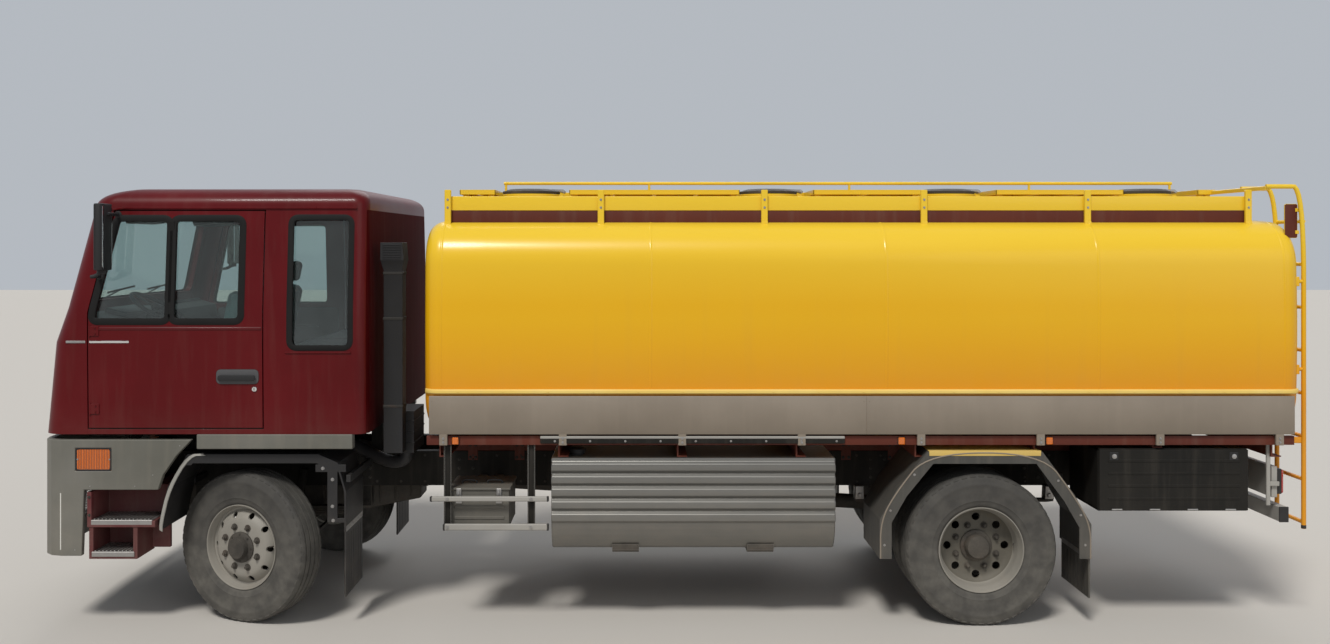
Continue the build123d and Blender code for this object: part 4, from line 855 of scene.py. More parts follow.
def makeRim(name, centre, axis, body, node, rim):
    origin, rear, face = (0, 0, 0), rim is rearRim, rim["face"]
    solid, cutter = bmesh.new(), bmesh.new()
    addLathe(solid, rim["flange"] + rim["dish"] + rim["back"], origin, upward, 72, closed=True)
    bmesh.ops.remove_doubles(solid, verts=solid.verts, dist=0.00001)
    for a in bearings(rim["holes"]):
        hole = [onWheel(a, rim["holeRing"], height) for height in (-0.02, 0.3)]
        addRod(cutter, *hole, rim["holeRadius"], 20, ease=0)
    bm = fromMesh(cutMesh(solid, cutter))
    for each in bm.faces if rear else ():
        spot = each.calc_center_median()
        if math.hypot(spot.x, spot.y) < 0.248 and spot.z < 0.16:
            each.material_index = 3  # the rear discs are darker
    addLathe(bm, [(r, face + h) for r, h in rim["hub"]], origin, upward, 40, 1)
    nuts = [onWheel(a, rim["nutRing"], face) for a in bearings(8, 0.5)]
    addBolts(bm, nuts, upward, 0.028, 1)
    for spot in nuts:
        addRod(bm, spot, (*spot[:2], face + 0.028), 0.0105, 10, 1)
    addBolts(bm, [onWheel(a, 0.089, face + 0.016) for a in bearings(8)], upward, 0.010, 1)
    addRod(bm, (0.246, 0.02, rim["valve"]), (0.232, 0.02, rim["valve"] + 0.035), 0.004, 8, 1)
    if rear:
        inner = [(0.2865, -0.266), (0.2865, -0.05), (0.262, -0.05), (0.262, -0.258), (0.275, -0.262)]
        addLathe(bm, inner, origin, upward, 72, closed=True)  # the inner rim of the twin pair, its drum and disc
        addLathe(bm, [(0.0, -0.262), (0.150, -0.262), (0.165, -0.24), (0.165, 0.09), (0.0, 0.09)], origin, upward, 40, 2)
        disc = [(0.165, -0.11), (0.262, -0.09), (0.262, -0.105), (0.165, -0.125)]
        addLathe(bm, disc, origin, upward, 48, closed=True)
    bmesh.ops.transform(bm, matrix=axisTurn(centre, axis), verts=bm.verts)
    makePiece(name, bm, [wheelSilver, castIron, castIron, wheelDark], [node], 38, body)


def makeWheels(side, name):
    steer = wheel["steer"]
    outward = Vector((-side * math.sin(steer), side * math.cos(steer), 0))
    centre = Vector((wheel["frontX"], side * wheel["kingpin"], wheel["radius"])) + outward * wheel["offset"]
    makeTyre("frontTyre." + name, [centre], outward, "wheel_front_" + name, "tyre_front_" + name)
    makeRim("frontRim." + name, centre, outward, "wheel_front_" + name, "rim_front_" + name, frontRim)
    middle, outward = Vector((wheel["rearX"], side * wheel["twinCentre"], wheel["radius"])), Vector((0, side, 0))
    pair = [middle + outward * shift for shift in (-wheel["twinHalf"], wheel["twinHalf"])]
    makeTyre("rearTyres." + name, pair, outward, "wheels_rear_" + name, "tyres_rear_" + name)
    makeRim("rearRims." + name, middle, outward, "wheels_rear_" + name, "rims_rear_" + name, rearRim)


bothSides(makeWheels)
print("wheels made")

cabSections = [(1.290, -4.228, -2.055, 1.212), (1.900, -4.165, -2.055, 1.225), (2.130, -4.085, -2.055, 1.222),
               (2.830, -3.919, -2.060, 1.160)]  # height, front face at the corners, rear face, half width
roofCurve = [(2.830, -3.919, -2.060, 1.160), (2.9085, -3.8905, -2.0575, 1.145), (2.933, -3.700, -2.165, 1.030)]
cab = {"bow": 0.0438, "frontCorner": 0.150, "rearCorner": 0.090, "wall": 0.058, "doorFront": -3.920, "doorRear": -2.744,
       "rear": (-2.15, -1.9), "foot": 1.27, "belt": 2.100, "cantrail": 2.790, "pillarTop": -3.762, "nose": -4.5,
       "reach": 1.4, "levels": (1.29, 1.45, 1.6, 1.75, 1.9, 1.98, 2.06, 2.13, 2.25, 2.37, 2.49, 2.61, 2.7, 2.78)}
doorLeaf = [(-3.912, 1.333), (-3.912, 2.098), (-3.753, 2.782), (-2.752, 2.782), (-2.752, 1.333)]
doorStrip = [(-3.912, 1.333), (-3.912, 2.098), (-3.753, 2.782), (-2.746, 2.782), (-2.746, 1.333)]
doorPanes = ([(-3.884, 2.053), (-3.872, 2.130), (-3.736, 2.722), (-3.392, 2.722), (-3.392, 2.053)],
             [(-3.352, 2.053), (-3.352, 2.722), (-2.905, 2.722), (-2.905, 2.053)])
quarterPane = [(-2.565, 1.873), (-2.565, 2.733), (-2.172, 2.733), (-2.172, 1.873)]
screen = [(-1.060, 2.165), (1.060, 2.165), (1.000, 2.765), (-1.000, 2.765)]
paneLook = {"doorCorner": 0.04, "quarterCorner": 0.045, "screenCorner": 0.06, "depth": 0.024, "thick": 0.005}
grille = {"z": (1.440, 1.800), "half": 0.720, "slats": 5}
mirror = {"x": (-3.794, -3.7325), "y": (1.256, 1.434), "z": (2.387, 2.827), "arms": ((-3.842, 2.344), (-3.735, 2.758))}


def cabLevel(z):
    for low, high in zip(cabSections, cabSections[1:]):  # front, rear and half width of the cab at a height
        if z <= high[0] or high is cabSections[-1]:
            share = (z - low[0]) / (high[0] - low[0])
            return [a + share * (b - a) for a, b in zip(low[1:], high[1:])]


def bowed(front, half, y):
    return front - cab["bow"] * (1 - (y / half) ** 2)


def cabNose(y, z, depth=0.0):
    front, _, half = cabLevel(z)
    return Vector((bowed(front, half, y) - depth, y, z))


def cabSide(x, z, depth=0.0):
    return Vector((x, cabLevel(z)[2] + depth, z))


def cabRing(z, front, rear, half, frontCorner, rearCorner):
    flat = half - frontCorner
    ring = [(bowed(front, half, y), y) for y in spaced(0, flat / 7, 7)]
    ring += arc((bowed(front, half, flat) + frontCorner, flat), frontCorner, 180, 90, 9)
    ring += arc((rear - rearCorner, half - rearCorner), rearCorner, 90, 0, 8)
    ring += [(rear, 0.5 * (half - rearCorner)), (rear, 0)]
    points = [Vector((x, y, z)) for x, y in ring]
    return points + [mirrored(p) for p in reversed(points[1:-1])]


def cabRings(inset):
    rings = [(z, *cabLevel(z)) for z in cab["levels"]]
    for share in between(0, 1, 9):
        weights = ((1 - share) ** 2, 2 * share * (1 - share), share ** 2)
        rings.append([sum(w * p[k] for w, p in zip(weights, roofCurve)) for k in range(4)])
    made = []
    for z, front, rear, half in rings:
        drop = inset * min(max((z - 2.76) / 0.05, 0), 1)  # the inner skin also keeps below the roof
        corners = (cab["frontCorner"] - inset, cab["rearCorner"] - inset)
        made.append(cabRing(z - drop, front + inset, rear - inset, half - inset, *corners))
    return made


def cabShell():
    bm = bmesh.new()
    addRings(bm, cabRings(cab["wall"])[::-1] + cabRings(0), capped=True)
    return bm


def prismTool(outline, low=-cab["reach"], high=cab["reach"], axis="y"):
    tool = bmesh.new()
    addPrism(tool, outline, low, high, 0, axis=axis)
    return tool


def cutShell(keep, cuts):
    mesh = cutMesh(cabShell(), keep, "INTERSECT")
    for tool in cuts:
        mesh = cutMesh(fromMesh(mesh), tool)
    return mesh


def stepped(outline, pitch=0.08):
    points = []  # more points along the straight runs, so that what follows a bowed skin bows with it
    for here, after in zip(outline, outline[1:] + outline[:1]):
        here, after = Vector(here), Vector(after)
        count = max(1, round((after - here).length / pitch))
        points += [here.lerp(after, k / count) for k in range(count)]
    return points


def addSeal(bm, outline, place, inner, outer, lift, part=0, depth=0.012):
    outline = stepped(outline)  # a rubber band round an opening: place(a, b, depth) puts a flat point on the skin
    pairs = list(zip(outline, outline[1:] + outline[:1]))
    turn = 1 if sum(here.x * after.y - after.x * here.y for here, after in pairs) > 0 else -1
    section = ((-inner, -depth), (-inner, lift * 0.5), (-inner + 0.004, lift), (outer - 0.005, lift),
               (outer, lift * 0.2), (outer, -0.004))
    rings = []
    for before, (here, after) in zip(outline[-1:] + outline, pairs):
        run = (after - before).normalized()
        away = Vector((run.y, -run.x)) * turn
        rings.append([place(*(here + away * offset), up) for offset, up in section])
    addRings(bm, rings, part, closed=True)


def addGrid(bm, rows, part=0):
    made = [[bm.verts.new(p) for p in row] for row in rows]
    for low, high in zip(made, made[1:]):
        for loop in zip(low, low[1:], high[1:], high):
            bm.faces.new(loop).material_index = part


def addPane(bm, outline):
    depth = paneLook["depth"]
    levels = (-depth, -depth - paneLook["thick"])
    addRings(bm, [[cabSide(x, z, level) for x, z in outline] for level in levels], capped=True)


def turnOver(bm, side):
    if side < 0:  # what is made for the right side goes to the left
        bmesh.ops.scale(bm, vec=(1, -1, 1), verts=bm.verts)
        bmesh.ops.reverse_faces(bm, faces=bm.faces)


def makeCabShell():
    foot, top, front = cab["foot"], cab["cantrail"], cab["doorFront"]
    nose = [(cab["nose"], foot), (front, foot), (front, cab["belt"]), (cab["pillarTop"], top), (cab["nose"], top)]
    opening = prismTool(rounded(screen, paneLook["screenCorner"]), -4.6, -3.7, "x")
    recess = prismTool(oblong((-grille["half"], grille["half"]), grille["z"]), -4.6, -3.9, "x")
    quarter = prismTool(rounded(quarterPane, paneLook["quarterCorner"]))
    rear = oblong(cab["rear"], (foot, top))
    for name, node, keep, cuts in (("cabFront", "cab_front", nose, [opening, recess]),
                                   ("cabRoof", "cab_roof", oblong((cab["nose"], -1.9), (top, 3.0)), []),
                                   ("cabRearWall", "cab_rear_wall", rear, []),
                                   ("cabSides", "cab_sides", oblong((cab["doorRear"], -2.15), (foot, top)), [quarter])):
        wall, finishes = cutShell(prismTool(keep), cuts), [cabRed]
        if keep is rear:
            # faces turned towards the tank take the darker red copy, painted shade for the gap between cab and tank
            finishes = [cabRed, cabRedPaintedShade]
            for face in wall.polygons:
                face.material_index = int(face.normal.x > 0.8)
        makePiece(name, wall, finishes, [node], 30, "cab")


def makeDoor(side, name):
    reach = sorted((side * 0.9, side * cab["reach"]))
    panes = [rounded(pane, paneLook["doorCorner"]) for pane in doorPanes]
    leaf = cutShell(prismTool(doorLeaf, *reach), [prismTool(pane, *reach) for pane in panes])
    makePiece("doorLeaf." + name, leaf, [cabRed], ["door_" + name], 30, "door_" + name)
    trim = bmesh.new()
    for pane in panes:
        addSeal(trim, pane, cabSide, 0.012, 0.034, 0.004)
    addBox(trim, (-3.393, -3.351), (1.165, 1.180), (2.06, 2.715), 0.003)
    addSeal(trim, rounded(doorStrip, 0.012, 2), lambda x, z, d: cabSide(x, z, d - 0.030), -0.006, 0.004, 0.004)
    turnOver(trim, side)
    makePiece("doorSeals." + name, trim, [sealRubber], body="door_" + name)
    bm = bmesh.new()
    skin = cabLevel(1.665)[2]  # the handle in its bowl, then the lock
    addPrism(bm, rounded(oblong((-3.06, -2.775), (1.625, 1.725)), 0.035), skin - 0.004, skin + 0.003, 0.002, 1)
    addPrism(bm, rounded(oblong((-3.045, -2.795), (1.648, 1.686)), 0.016), skin + 0.012, skin + 0.023, 0.004, 0)
    for x in (-3.030, -2.815):
        addBox(bm, around(x, 0.012), (skin - 0.002, skin + 0.016), (1.652, 1.682), 0.003)
    addRod(bm, (-2.805, skin - 0.002, 1.592), (-2.805, skin + 0.006, 1.592), 0.017, 24, 2)
    addBox(bm, (-2.808, -2.802), (skin + 0.005, skin + 0.0068), (1.583, 1.601), 0.0005, 1)
    for z in (1.46, 1.98):  # hinge leaves at the front edge
        y = cabLevel(z)[2]
        addBox(bm, (-3.9075, -3.84), (y - 0.001, y + 0.007), around(z, 0.035), 0.003, 3)
        addRod(bm, (-3.903, y + 0.002, z - 0.04), (-3.903, y + 0.002, z + 0.04), 0.007, 12, 3)
        addBolts(bm, [(-3.865, y + 0.007, z + dz) for dz in (-0.02, 0.02)], across, 0.010, 3)
    y, z = cabLevel(1.995)[2], 1.995  # pressed swage line
    swage = [(y - 0.001, z - 0.014), (y + 0.0045, z - 0.006), (y + 0.0045, z + 0.006), (y - 0.001, z + 0.014)]
    addPrism(bm, swage, -3.905, -2.760, 0.001, 3, axis="x")
    y = cabLevel(1.907)[2]
    addBox(bm, (-3.905, -3.640), (y - 0.002, y + 0.004), (1.899, 1.915), 0.002, 2)
    y = cabLevel(1.7)[2] - cab["wall"]  # inner card with its pocket and grab handle
    card = [(-3.86, 1.40), (-2.80, 1.40), (-2.80, 2.02), (-3.84, 2.02)]
    addPrism(bm, rounded(card, 0.05), y - 0.012, y - 0.001, 0.004, 1)
    addPrism(bm, rounded(oblong((-3.72, -2.92), (1.42, 1.60)), 0.03), y - 0.034, y - 0.010, 0.006, 1)
    grab = [(-3.30, 0.012), (-3.30, 0.030), (-2.98, 0.030), (-2.98, 0.012)]
    addTube(bm, [(x, y - depth, 1.86) for x, depth in grab], 0.010, 10, 1)
    addTube(bm, [(-3.46, y - 0.010, 1.74), (-3.46, y - 0.028, 1.74), (-3.40, y - 0.036, 1.70)], 0.006, 8, 1)
    turnOver(bm, side)
    finishes = [blackPlastic, trimPlastic, chrome, cabRed]
    makePiece("doorFittings." + name, bm, finishes, body="door_" + name)


def makeDoorGlass(side, name):
    bm = bmesh.new()
    for pane in doorPanes:
        addPane(bm, rounded(pane, paneLook["doorCorner"]))
    turnOver(bm, side)
    makePiece("doorGlass." + name, bm, [glass], ["door_glass_" + name], 20, "door_" + name)


def makeCabGlass():
    bm = bmesh.new()
    addPane(bm, rounded(quarterPane, paneLook["quarterCorner"]))
    addTwin(bm)
    levels = list(zip(between(screen[0][1] + 0.002, screen[2][1] - 0.002, 9), between(1.058, 0.998, 9)))
    for depth in (paneLook["depth"], paneLook["depth"] + paneLook["thick"]):
        addGrid(bm, [[cabNose(y, z, -depth) for y in between(-half, half, 25)] for z, half in levels])
    makePiece("cabGlass", bm, [glass], ["cab_glass"], 60, "cab")


def makeCabSeals():
    bm = bmesh.new()
    addSeal(bm, rounded(quarterPane, paneLook["quarterCorner"]), cabSide, 0.012, 0.026, 0.004)
    addTwin(bm)
    addSeal(bm, rounded(screen, paneLook["screenCorner"]), cabNose, 0.012, 0.030, 0.004)
    makePiece("cabSeals", bm, [sealRubber], body="cab")


def middles(start, end, count):
    step = (end - start) / count
    return spaced(start + step / 2, step, count)


def makeCabFittings():
    bm = bmesh.new()
    y = cabLevel(1.907)[2]  # side moulding, drip gutter over the door and ledge under the quarter window
    addBox(bm, (-4.06, -3.93), (y - 0.002, y + 0.004), (1.899, 1.915), 0.002, 2)
    gutter = [(-3.775, 2.79, 0.004), (-3.70, 2.803, 0.006), (-2.40, 2.803, 0.006), (-2.13, 2.803, 0.006)]
    addBar(bm, [cabSide(*p) for p in gutter], 0.012, 0.014, 0.003, 3)
    addBar(bm, [cabSide(-2.60, 1.836, 0.003), cabSide(-2.16, 1.836, 0.003)], 0.010, 0.012, 0.003, 3)
    addTwin(bm)
    low, high = grille["z"]
    half = grille["half"]
    slat = ((-0.013, -0.026), (-0.014, 0.0), (-0.009, 0.0015), (0.008, -0.004), (0.013, -0.012), (0.013, -0.026))
    for z in between(low, high, grille["slats"] + 1)[1:-1]:  # slats that lean back, a frame, and a dark mesh
        addRings(bm, [[cabNose(y, z + dz, d) for dz, d in slat] for y in between(-half, half, 25)])
    addSeal(bm, rounded(oblong((-half, half), (low, high)), 0.012, 3), cabNose, 0.004, 0.014, 0.0015, 0, 0.026)
    for y in middles(-half, half, 60):
        addBar(bm, [cabNose(y, low, -0.040), cabNose(y, high, -0.040)], 0.004, 0.004, 0.0, 1, along)
    for z in middles(low, high, 16):
        addBar(bm, [cabNose(y, z, -0.043) for y in between(-half, half, 9)], 0.004, 0.004, 0.0, 1)
    for y, tip in ((-0.62, 0.02), (0.18, 0.78)):  # wipers
        addRod(bm, cabNose(y, 2.135, -0.01), cabNose(y, 2.135, 0.018), 0.018, 20, 1)
        arm = [(y, 2.135, 0.004), (y + (tip - y) * 0.45, 2.185, 0.020), (tip - 0.18, 2.222, 0.014)]
        addBar(bm, [cabNose(*p) for p in arm], 0.014, 0.008, 0.002, 1)
        blade = [cabNose(tip - 0.46 + 0.062 * k, 2.205 + 0.004 * k, 0.004) for k in range(9)]
        addBar(bm, blade, 0.007, 0.014, 0.001, 1)
    for y in middles(-1, 1, 16):  # vents in the cowl
        addBar(bm, [cabNose(y - 0.05, 2.095), cabNose(y + 0.05, 2.095)], 0.006, 0.010, 0.002, 1)
    strip = ((-0.010, -0.002), (-0.008, 0.004), (0.008, 0.004), (0.010, -0.002))
    for z in (1.907, 2.02):  # pale pressed mouldings right round the nose
        addRings(bm, [[cabNose(y, z + dz, d) for dz, d in strip] for y in between(-1.04, 1.04, 21)], 2)
    marker = [(-3.852, 2.884), (-3.800, 2.884), (-3.800, 2.928), (-3.830, 2.928), (-3.848, 2.906)]
    for y in (-0.78, -0.39, 0.0, 0.39, 0.78):
        addPrism(bm, marker, *around(y, 0.05), 0.005, 4)
    finishes = [blackPlastic, sealRubber, steel, cabRed, lensAmber]
    makePiece("cabFittings", bm, finishes, body="cab")


def makeMirror(side, name):
    bm = bmesh.new()
    (x0, x1), (y0, y1), (z0, z1) = mirror["x"], mirror["y"], mirror["z"]
    addPrism(bm, rounded(oblong((x0, x1), (y0, y1)), 0.028, 5), z0 + 0.001, z1 - 0.001, 0.010, axis="z")
    glassEdge = oblong((y0 + 0.012, y1 - 0.012), (z0 + 0.014, z1 - 0.014))
    addPrism(bm, rounded(glassEdge, 0.02, 5), -3.7345, -3.7328, 0.0, 1, axis="x")
    for (x, z), skin, rise in zip(mirror["arms"], (1.180, 1.148), (0.03, 0.0)):
        wall = cabLevel(z)[2]
        addRod(bm, (x, wall - 0.004, z), (x, wall + 0.008, z), 0.024, 20)
        addTube(bm, [(x, skin, z), (x, 1.30, z), (x + 0.01, 1.345, z), (-3.763, 1.345, z + rise)], 0.0115, 12, ease=3)
    addTube(bm, [(-3.842, 1.345, 2.344), (-3.80, 1.345, 2.352), (-3.763, 1.345, 2.395)], 0.0125, 12)
    addBox(bm, (-3.80, -3.738), (1.331, 1.359), (2.362, 2.40), 0.006)
    addBolts(bm, [(-3.795, 1.345, z) for z in (2.43, 2.79)], (-1, 0, 0), 0.010)
    turnOver(bm, side)
    makePiece("mirror." + name, bm, [blackPlastic, chrome], ["mirror_" + name], 35, "door_" + name)


makeCabShell()
bothSides(makeDoor)
bothSides(makeDoorGlass)
makeCabGlass()
makeCabSeals()
makeCabFittings()
bothSides(makeMirror)
print("cab made")

skirt = {"half": 1.2244, "z": (1.290, 1.545), "joints": (-1.640, 1.28, 4.135)}
subframe = {"web": 1.1985, "x": (-1.659, 4.144), "plates": 17, "foot": 1.131, "top": 1.284, "reach": 1.167,
            "cabinet": (2.8, 3.9), "cabinetFoot": 1.192, "cabinetEdge": -0.600}
chassis = {"web": 0.4255, "members": (-3.980, -2.250, -1.500, -0.300, 0.900, 1.500, 2.620, 3.500, 4.090)}
bumper = {"half": 1.225, "front": -4.275, "bow": 0.045, "flat": -4.2690, "lampZ": (0.968, 1.142), "cells": 10}
sideTank = {"x": (-0.825, 1.075), "pitch": 0.084, "ribs": 5, "foot": 0.690,
            "saddles": ((-0.420, -0.330), (0.670, 0.580))}  # where each hanger and its saddle stand
bearers = between(-1.545, 4.038, 8)


def spots(xs, y, zs):
    return [(x, y, z) for x in xs for z in zs]


def makeSkirts():
    bm = bmesh.new()
    z0, z1 = skirt["z"]
    outer = skirt["half"]
    section = [(0, z0 + 0.006), (0.004, z0), (0.020, z0), (0.020, z0 + 0.004), (0.005, z0 + 0.006), (0.005, z1 - 0.006),
               (0.020, z1 - 0.004), (0.020, z1), (0.004, z1), (0, z1 - 0.006)]
    for start, end in zip(skirt["joints"], skirt["joints"][1:]):
        start, end = start + 0.0006, end - 0.0006
        addPrism(bm, [(outer - y, z) for y, z in section], start, end, 0.0, axis="x")
        for rivet in spots((start + 0.018, end - 0.018), outer, between(z0 + 0.035, z1 - 0.035, 4)):
            addLathe(bm, [(0, 0.0004), (0.0045, 0.0003), (0.006, -0.002)], rivet, across, 10)
    for x in bearers:
        addBox(bm, around(x, 0.027), (outer - 0.003, 1.2005), (1.216, 1.348), 0.003)
    addBolts(bm, spots(bearers, outer - 0.003, (1.236, 1.262)), across, 0.010, 1)
    addTwin(bm)
    makePiece("tankSkirts", bm, [greyPaint, steel], ["tank_skirts"])


def makeSubframe():
    bm = bmesh.new()
    web, foot, top, reach = subframe["web"], subframe["foot"], subframe["top"], subframe["reach"]
    addBox(bm, (-1.684, 4.130), (0.346, 0.424), (1.052, 1.130), 0.004)
    rail = [(0, 1.2165), (0, 1.2765), (0.030, 1.2765), (0.030, 1.2705), (0.006, 1.2705), (0.006, 1.2225),
            (0.030, 1.2225), (0.030, 1.2165)]
    addPrism(bm, [(web - y, z) for y, z in rail], *subframe["x"], 0.001, axis="x")
    for x in spaced(-1.45, 0.34, subframe["plates"]):
        addBox(bm, around(x, 0.035), (0.4255, 0.4285), (0.985, 1.115), 0.002)
        addBolts(bm, spots((x - 0.02, x + 0.02), 0.4285, (1.005, 1.095)), across, 0.014, 1)
    for x in bearers:
        for gusset in ([(0.43, 1.14), (0.56, 1.14), (0.43, 1.27)], [(1.16, 1.22), (1.16, 1.275), (1.06, 1.275)]):
            addPrism(bm, gusset, x - 0.022, x - 0.016, 0.0, axis="x")
    addTwin(bm)
    for x in bearers:
        runs = [(foot, -reach, reach)]
        if subframe["cabinet"][0] < x < subframe["cabinet"][1]:  # its left end is cut away over the valve cabinet
            runs = [(foot, subframe["cabinetEdge"], reach), (subframe["cabinetFoot"], -reach, subframe["cabinetEdge"])]
        for low, start, end in runs:
            section = [(-0.034, low), (0.034, low), (0.034, low + 0.008), (-0.024, low + 0.008), (-0.024, top - 0.008),
                       (0.034, top - 0.008), (0.034, top), (-0.034, top)]
            addPrism(bm, [(x + dx, z) for dx, z in section], start, end, 0.001)
    makePiece("tankSubframe", bm, [railRed, castIron], ["tank_subframe"], 30)


def makeFrame():
    softNode("chassis_frame", frameBlack, 0.004, 30)
    bm = bmesh.new()
    for x in chassis["members"]:
        addBolts(bm, spots(around(x, 0.05), chassis["web"], (0.86, 0.925, 0.99)), across, 0.014)
    for rivet in spots(spaced(-3.9, 0.175, 46), chassis["web"], (0.83, 1.02)):
        addLathe(bm, [(0, 0.0035), (0.007, 0.003), (0.0105, 0)], rivet, across, 8)
    addTwin(bm)
    pipes = ((-0.338, 0.90, 0.004, 0), (-0.338, 0.915, 0.004, 0), (-0.338, 0.93, 0.006, 0), (0.336, 0.905, 0.011, 1))
    for y, z, radius, part in pipes:  # brake pipes along the left rail and a cable loom on the right one
        line = ((-3.90, 0), (-2.4, 0), (-1.0, 0.004), (0.6, 0), (1.9, -0.004), (3.9, 0))
        addTube(bm, [(x, y, z + sag) for x, sag in line], radius, 8, part, ease=1)
    for x in spaced(-3.8, 0.35, 22):
        addBox(bm, around(x, 0.008), (-0.344, -0.331), (0.892, 0.94), 0.002)
        addBox(bm, around(x, 0.008), (0.324, 0.344), (0.890, 0.922), 0.002)
    makePiece("frameFittings", bm, [castIron, blackPlastic])


def makeGuards():
    softNode("rear_mudguards", guardDark, 0.006, 28)
    softNode("front_mudguards", blackPlastic, 0.006, 25)
    bm = bmesh.new()
    plate = [(1.700, 1.1735), (2.444, 1.1735), (2.448, 1.179), (1.696, 1.179)]
    addPrism(bm, plate, 0.66, 1.214, 0.001, 0)  # yellow top plate, edge bead and bolted flanges of the rear guard
    addPrism(bm, [(1.700, 1.146), (2.444, 1.146), (2.446, 1.179), (1.698, 1.179)], 1.2135, 1.2165, 0.001, 0)
    bead = [(1.374, 0.46), (1.374, 0.718), (1.487, 0.915), (1.690, 1.166), (2.452, 1.166), (2.662, 0.885),
            (2.776, 0.685), (2.776, 0.46)]
    addTube(bm, [(x, 1.214, z) for x, z in bead], 0.0055, 8, 1, ease=3)
    flange = ((1.40, 0.55), (1.44, 0.78), (1.60, 1.02), (2.56, 0.98), (2.71, 0.75), (2.74, 0.55))
    addBolts(bm, [(x, 1.215, z) for x, z in flange], across, 0.010, 2)
    addBox(bm, (2.7695, 2.783), (0.645, 1.185), (0.440, 0.476), 0.002, 2)
    addBolts(bm, [(2.7835, y, 0.458) for y in spaced(0.70, 0.09, 6)], along, 0.012, 2)
    for y in spaced(0.70, 0.07, 7):  # ribs pressed in the flap
        addBox(bm, (2.768, 2.7845), around(y, 0.006), (0.205, 0.42), 0.003, 3)
    arch = [(-3.4595, 0.645), (-3.4595, 0.70), (-3.405, 0.932), (-3.273, 1.1515), (-3.17, 1.1535)]
    arch = [Vector(p) for p in arch]  # front guard: pale edge strip, from the sill down to the step
    for _ in range(2):
        cut = [p for a, b in zip(arch, arch[1:]) for p in (a * 0.75 + b * 0.25, a * 0.25 + b * 0.75)]
        arch = [arch[0]] + cut + [arch[-1]]
    lip = ((0.004, 1.150, -0.002), (0.004, 1.1745, -0.002), (0.022, 1.1785, -0.012), (0.026, 1.1745, -0.014),
           (0.012, 1.150, -0.006))
    addRings(bm, [[Vector((x + dx, y, z + dz)) for dx, y, dz in lip] for x, z in arch], 4, capped=True)
    stay = ((-2.36, 1.055), (-2.295, 0.98), (-2.295, 0.80), (-2.29, 0.705))
    addBolts(bm, [(x, 1.172, z) for x, z in stay], across, 0.014, 2)
    addBox(bm, (-2.219, -2.2035), (0.665, 1.16), (0.625, 0.665), 0.002, 2)
    addBolts(bm, [(-2.2035, y, 0.645) for y in spaced(0.72, 0.08, 6)], along, 0.012, 2)
    for y in spaced(0.73, 0.07, 6):
        addBox(bm, (-2.2195, -2.2025), around(y, 0.006), (0.205, 0.60), 0.003, 3)
    addTwin(bm)
    makePiece("guardTrim", bm, [creamPaint, greyPaint, steel, blackPlastic, lipGrey])


def makeSteps():
    softNode("step_boxes", stepRed, 0.006, 30)
    bm = bmesh.new()
    y0, y1 = 0.935, 1.208
    for x0, x1, z in ((-3.90, -3.49, 0.7125), (-3.895, -3.61, 0.5005)):
        addBox(bm, (x0, x1), (y0, y1), (z - 0.001, z + 0.003), 0.001, 0)
        for x in spaced(x0 + 0.018, 0.026, int((x1 - x0) / 0.026)):
            addBox(bm, around(x, 0.004), (y0 + 0.012, y1 - 0.012), (z + 0.002, z + 0.009), 0.002, 0)
        addBox(bm, (x0, x1), (1.200, 1.2125), (z - 0.030, z + 0.004), 0.003, 0)
    addBolts(bm, spots([-3.91], 1.212, (0.75, 0.87)), across, 0.012, 1)
    addTwin(bm)
    makePiece("stepTreads", bm, [steel, castIron])


def bumperFront(y):
    return bumper["front"] + bumper["bow"] * (y / bumper["half"]) ** 2


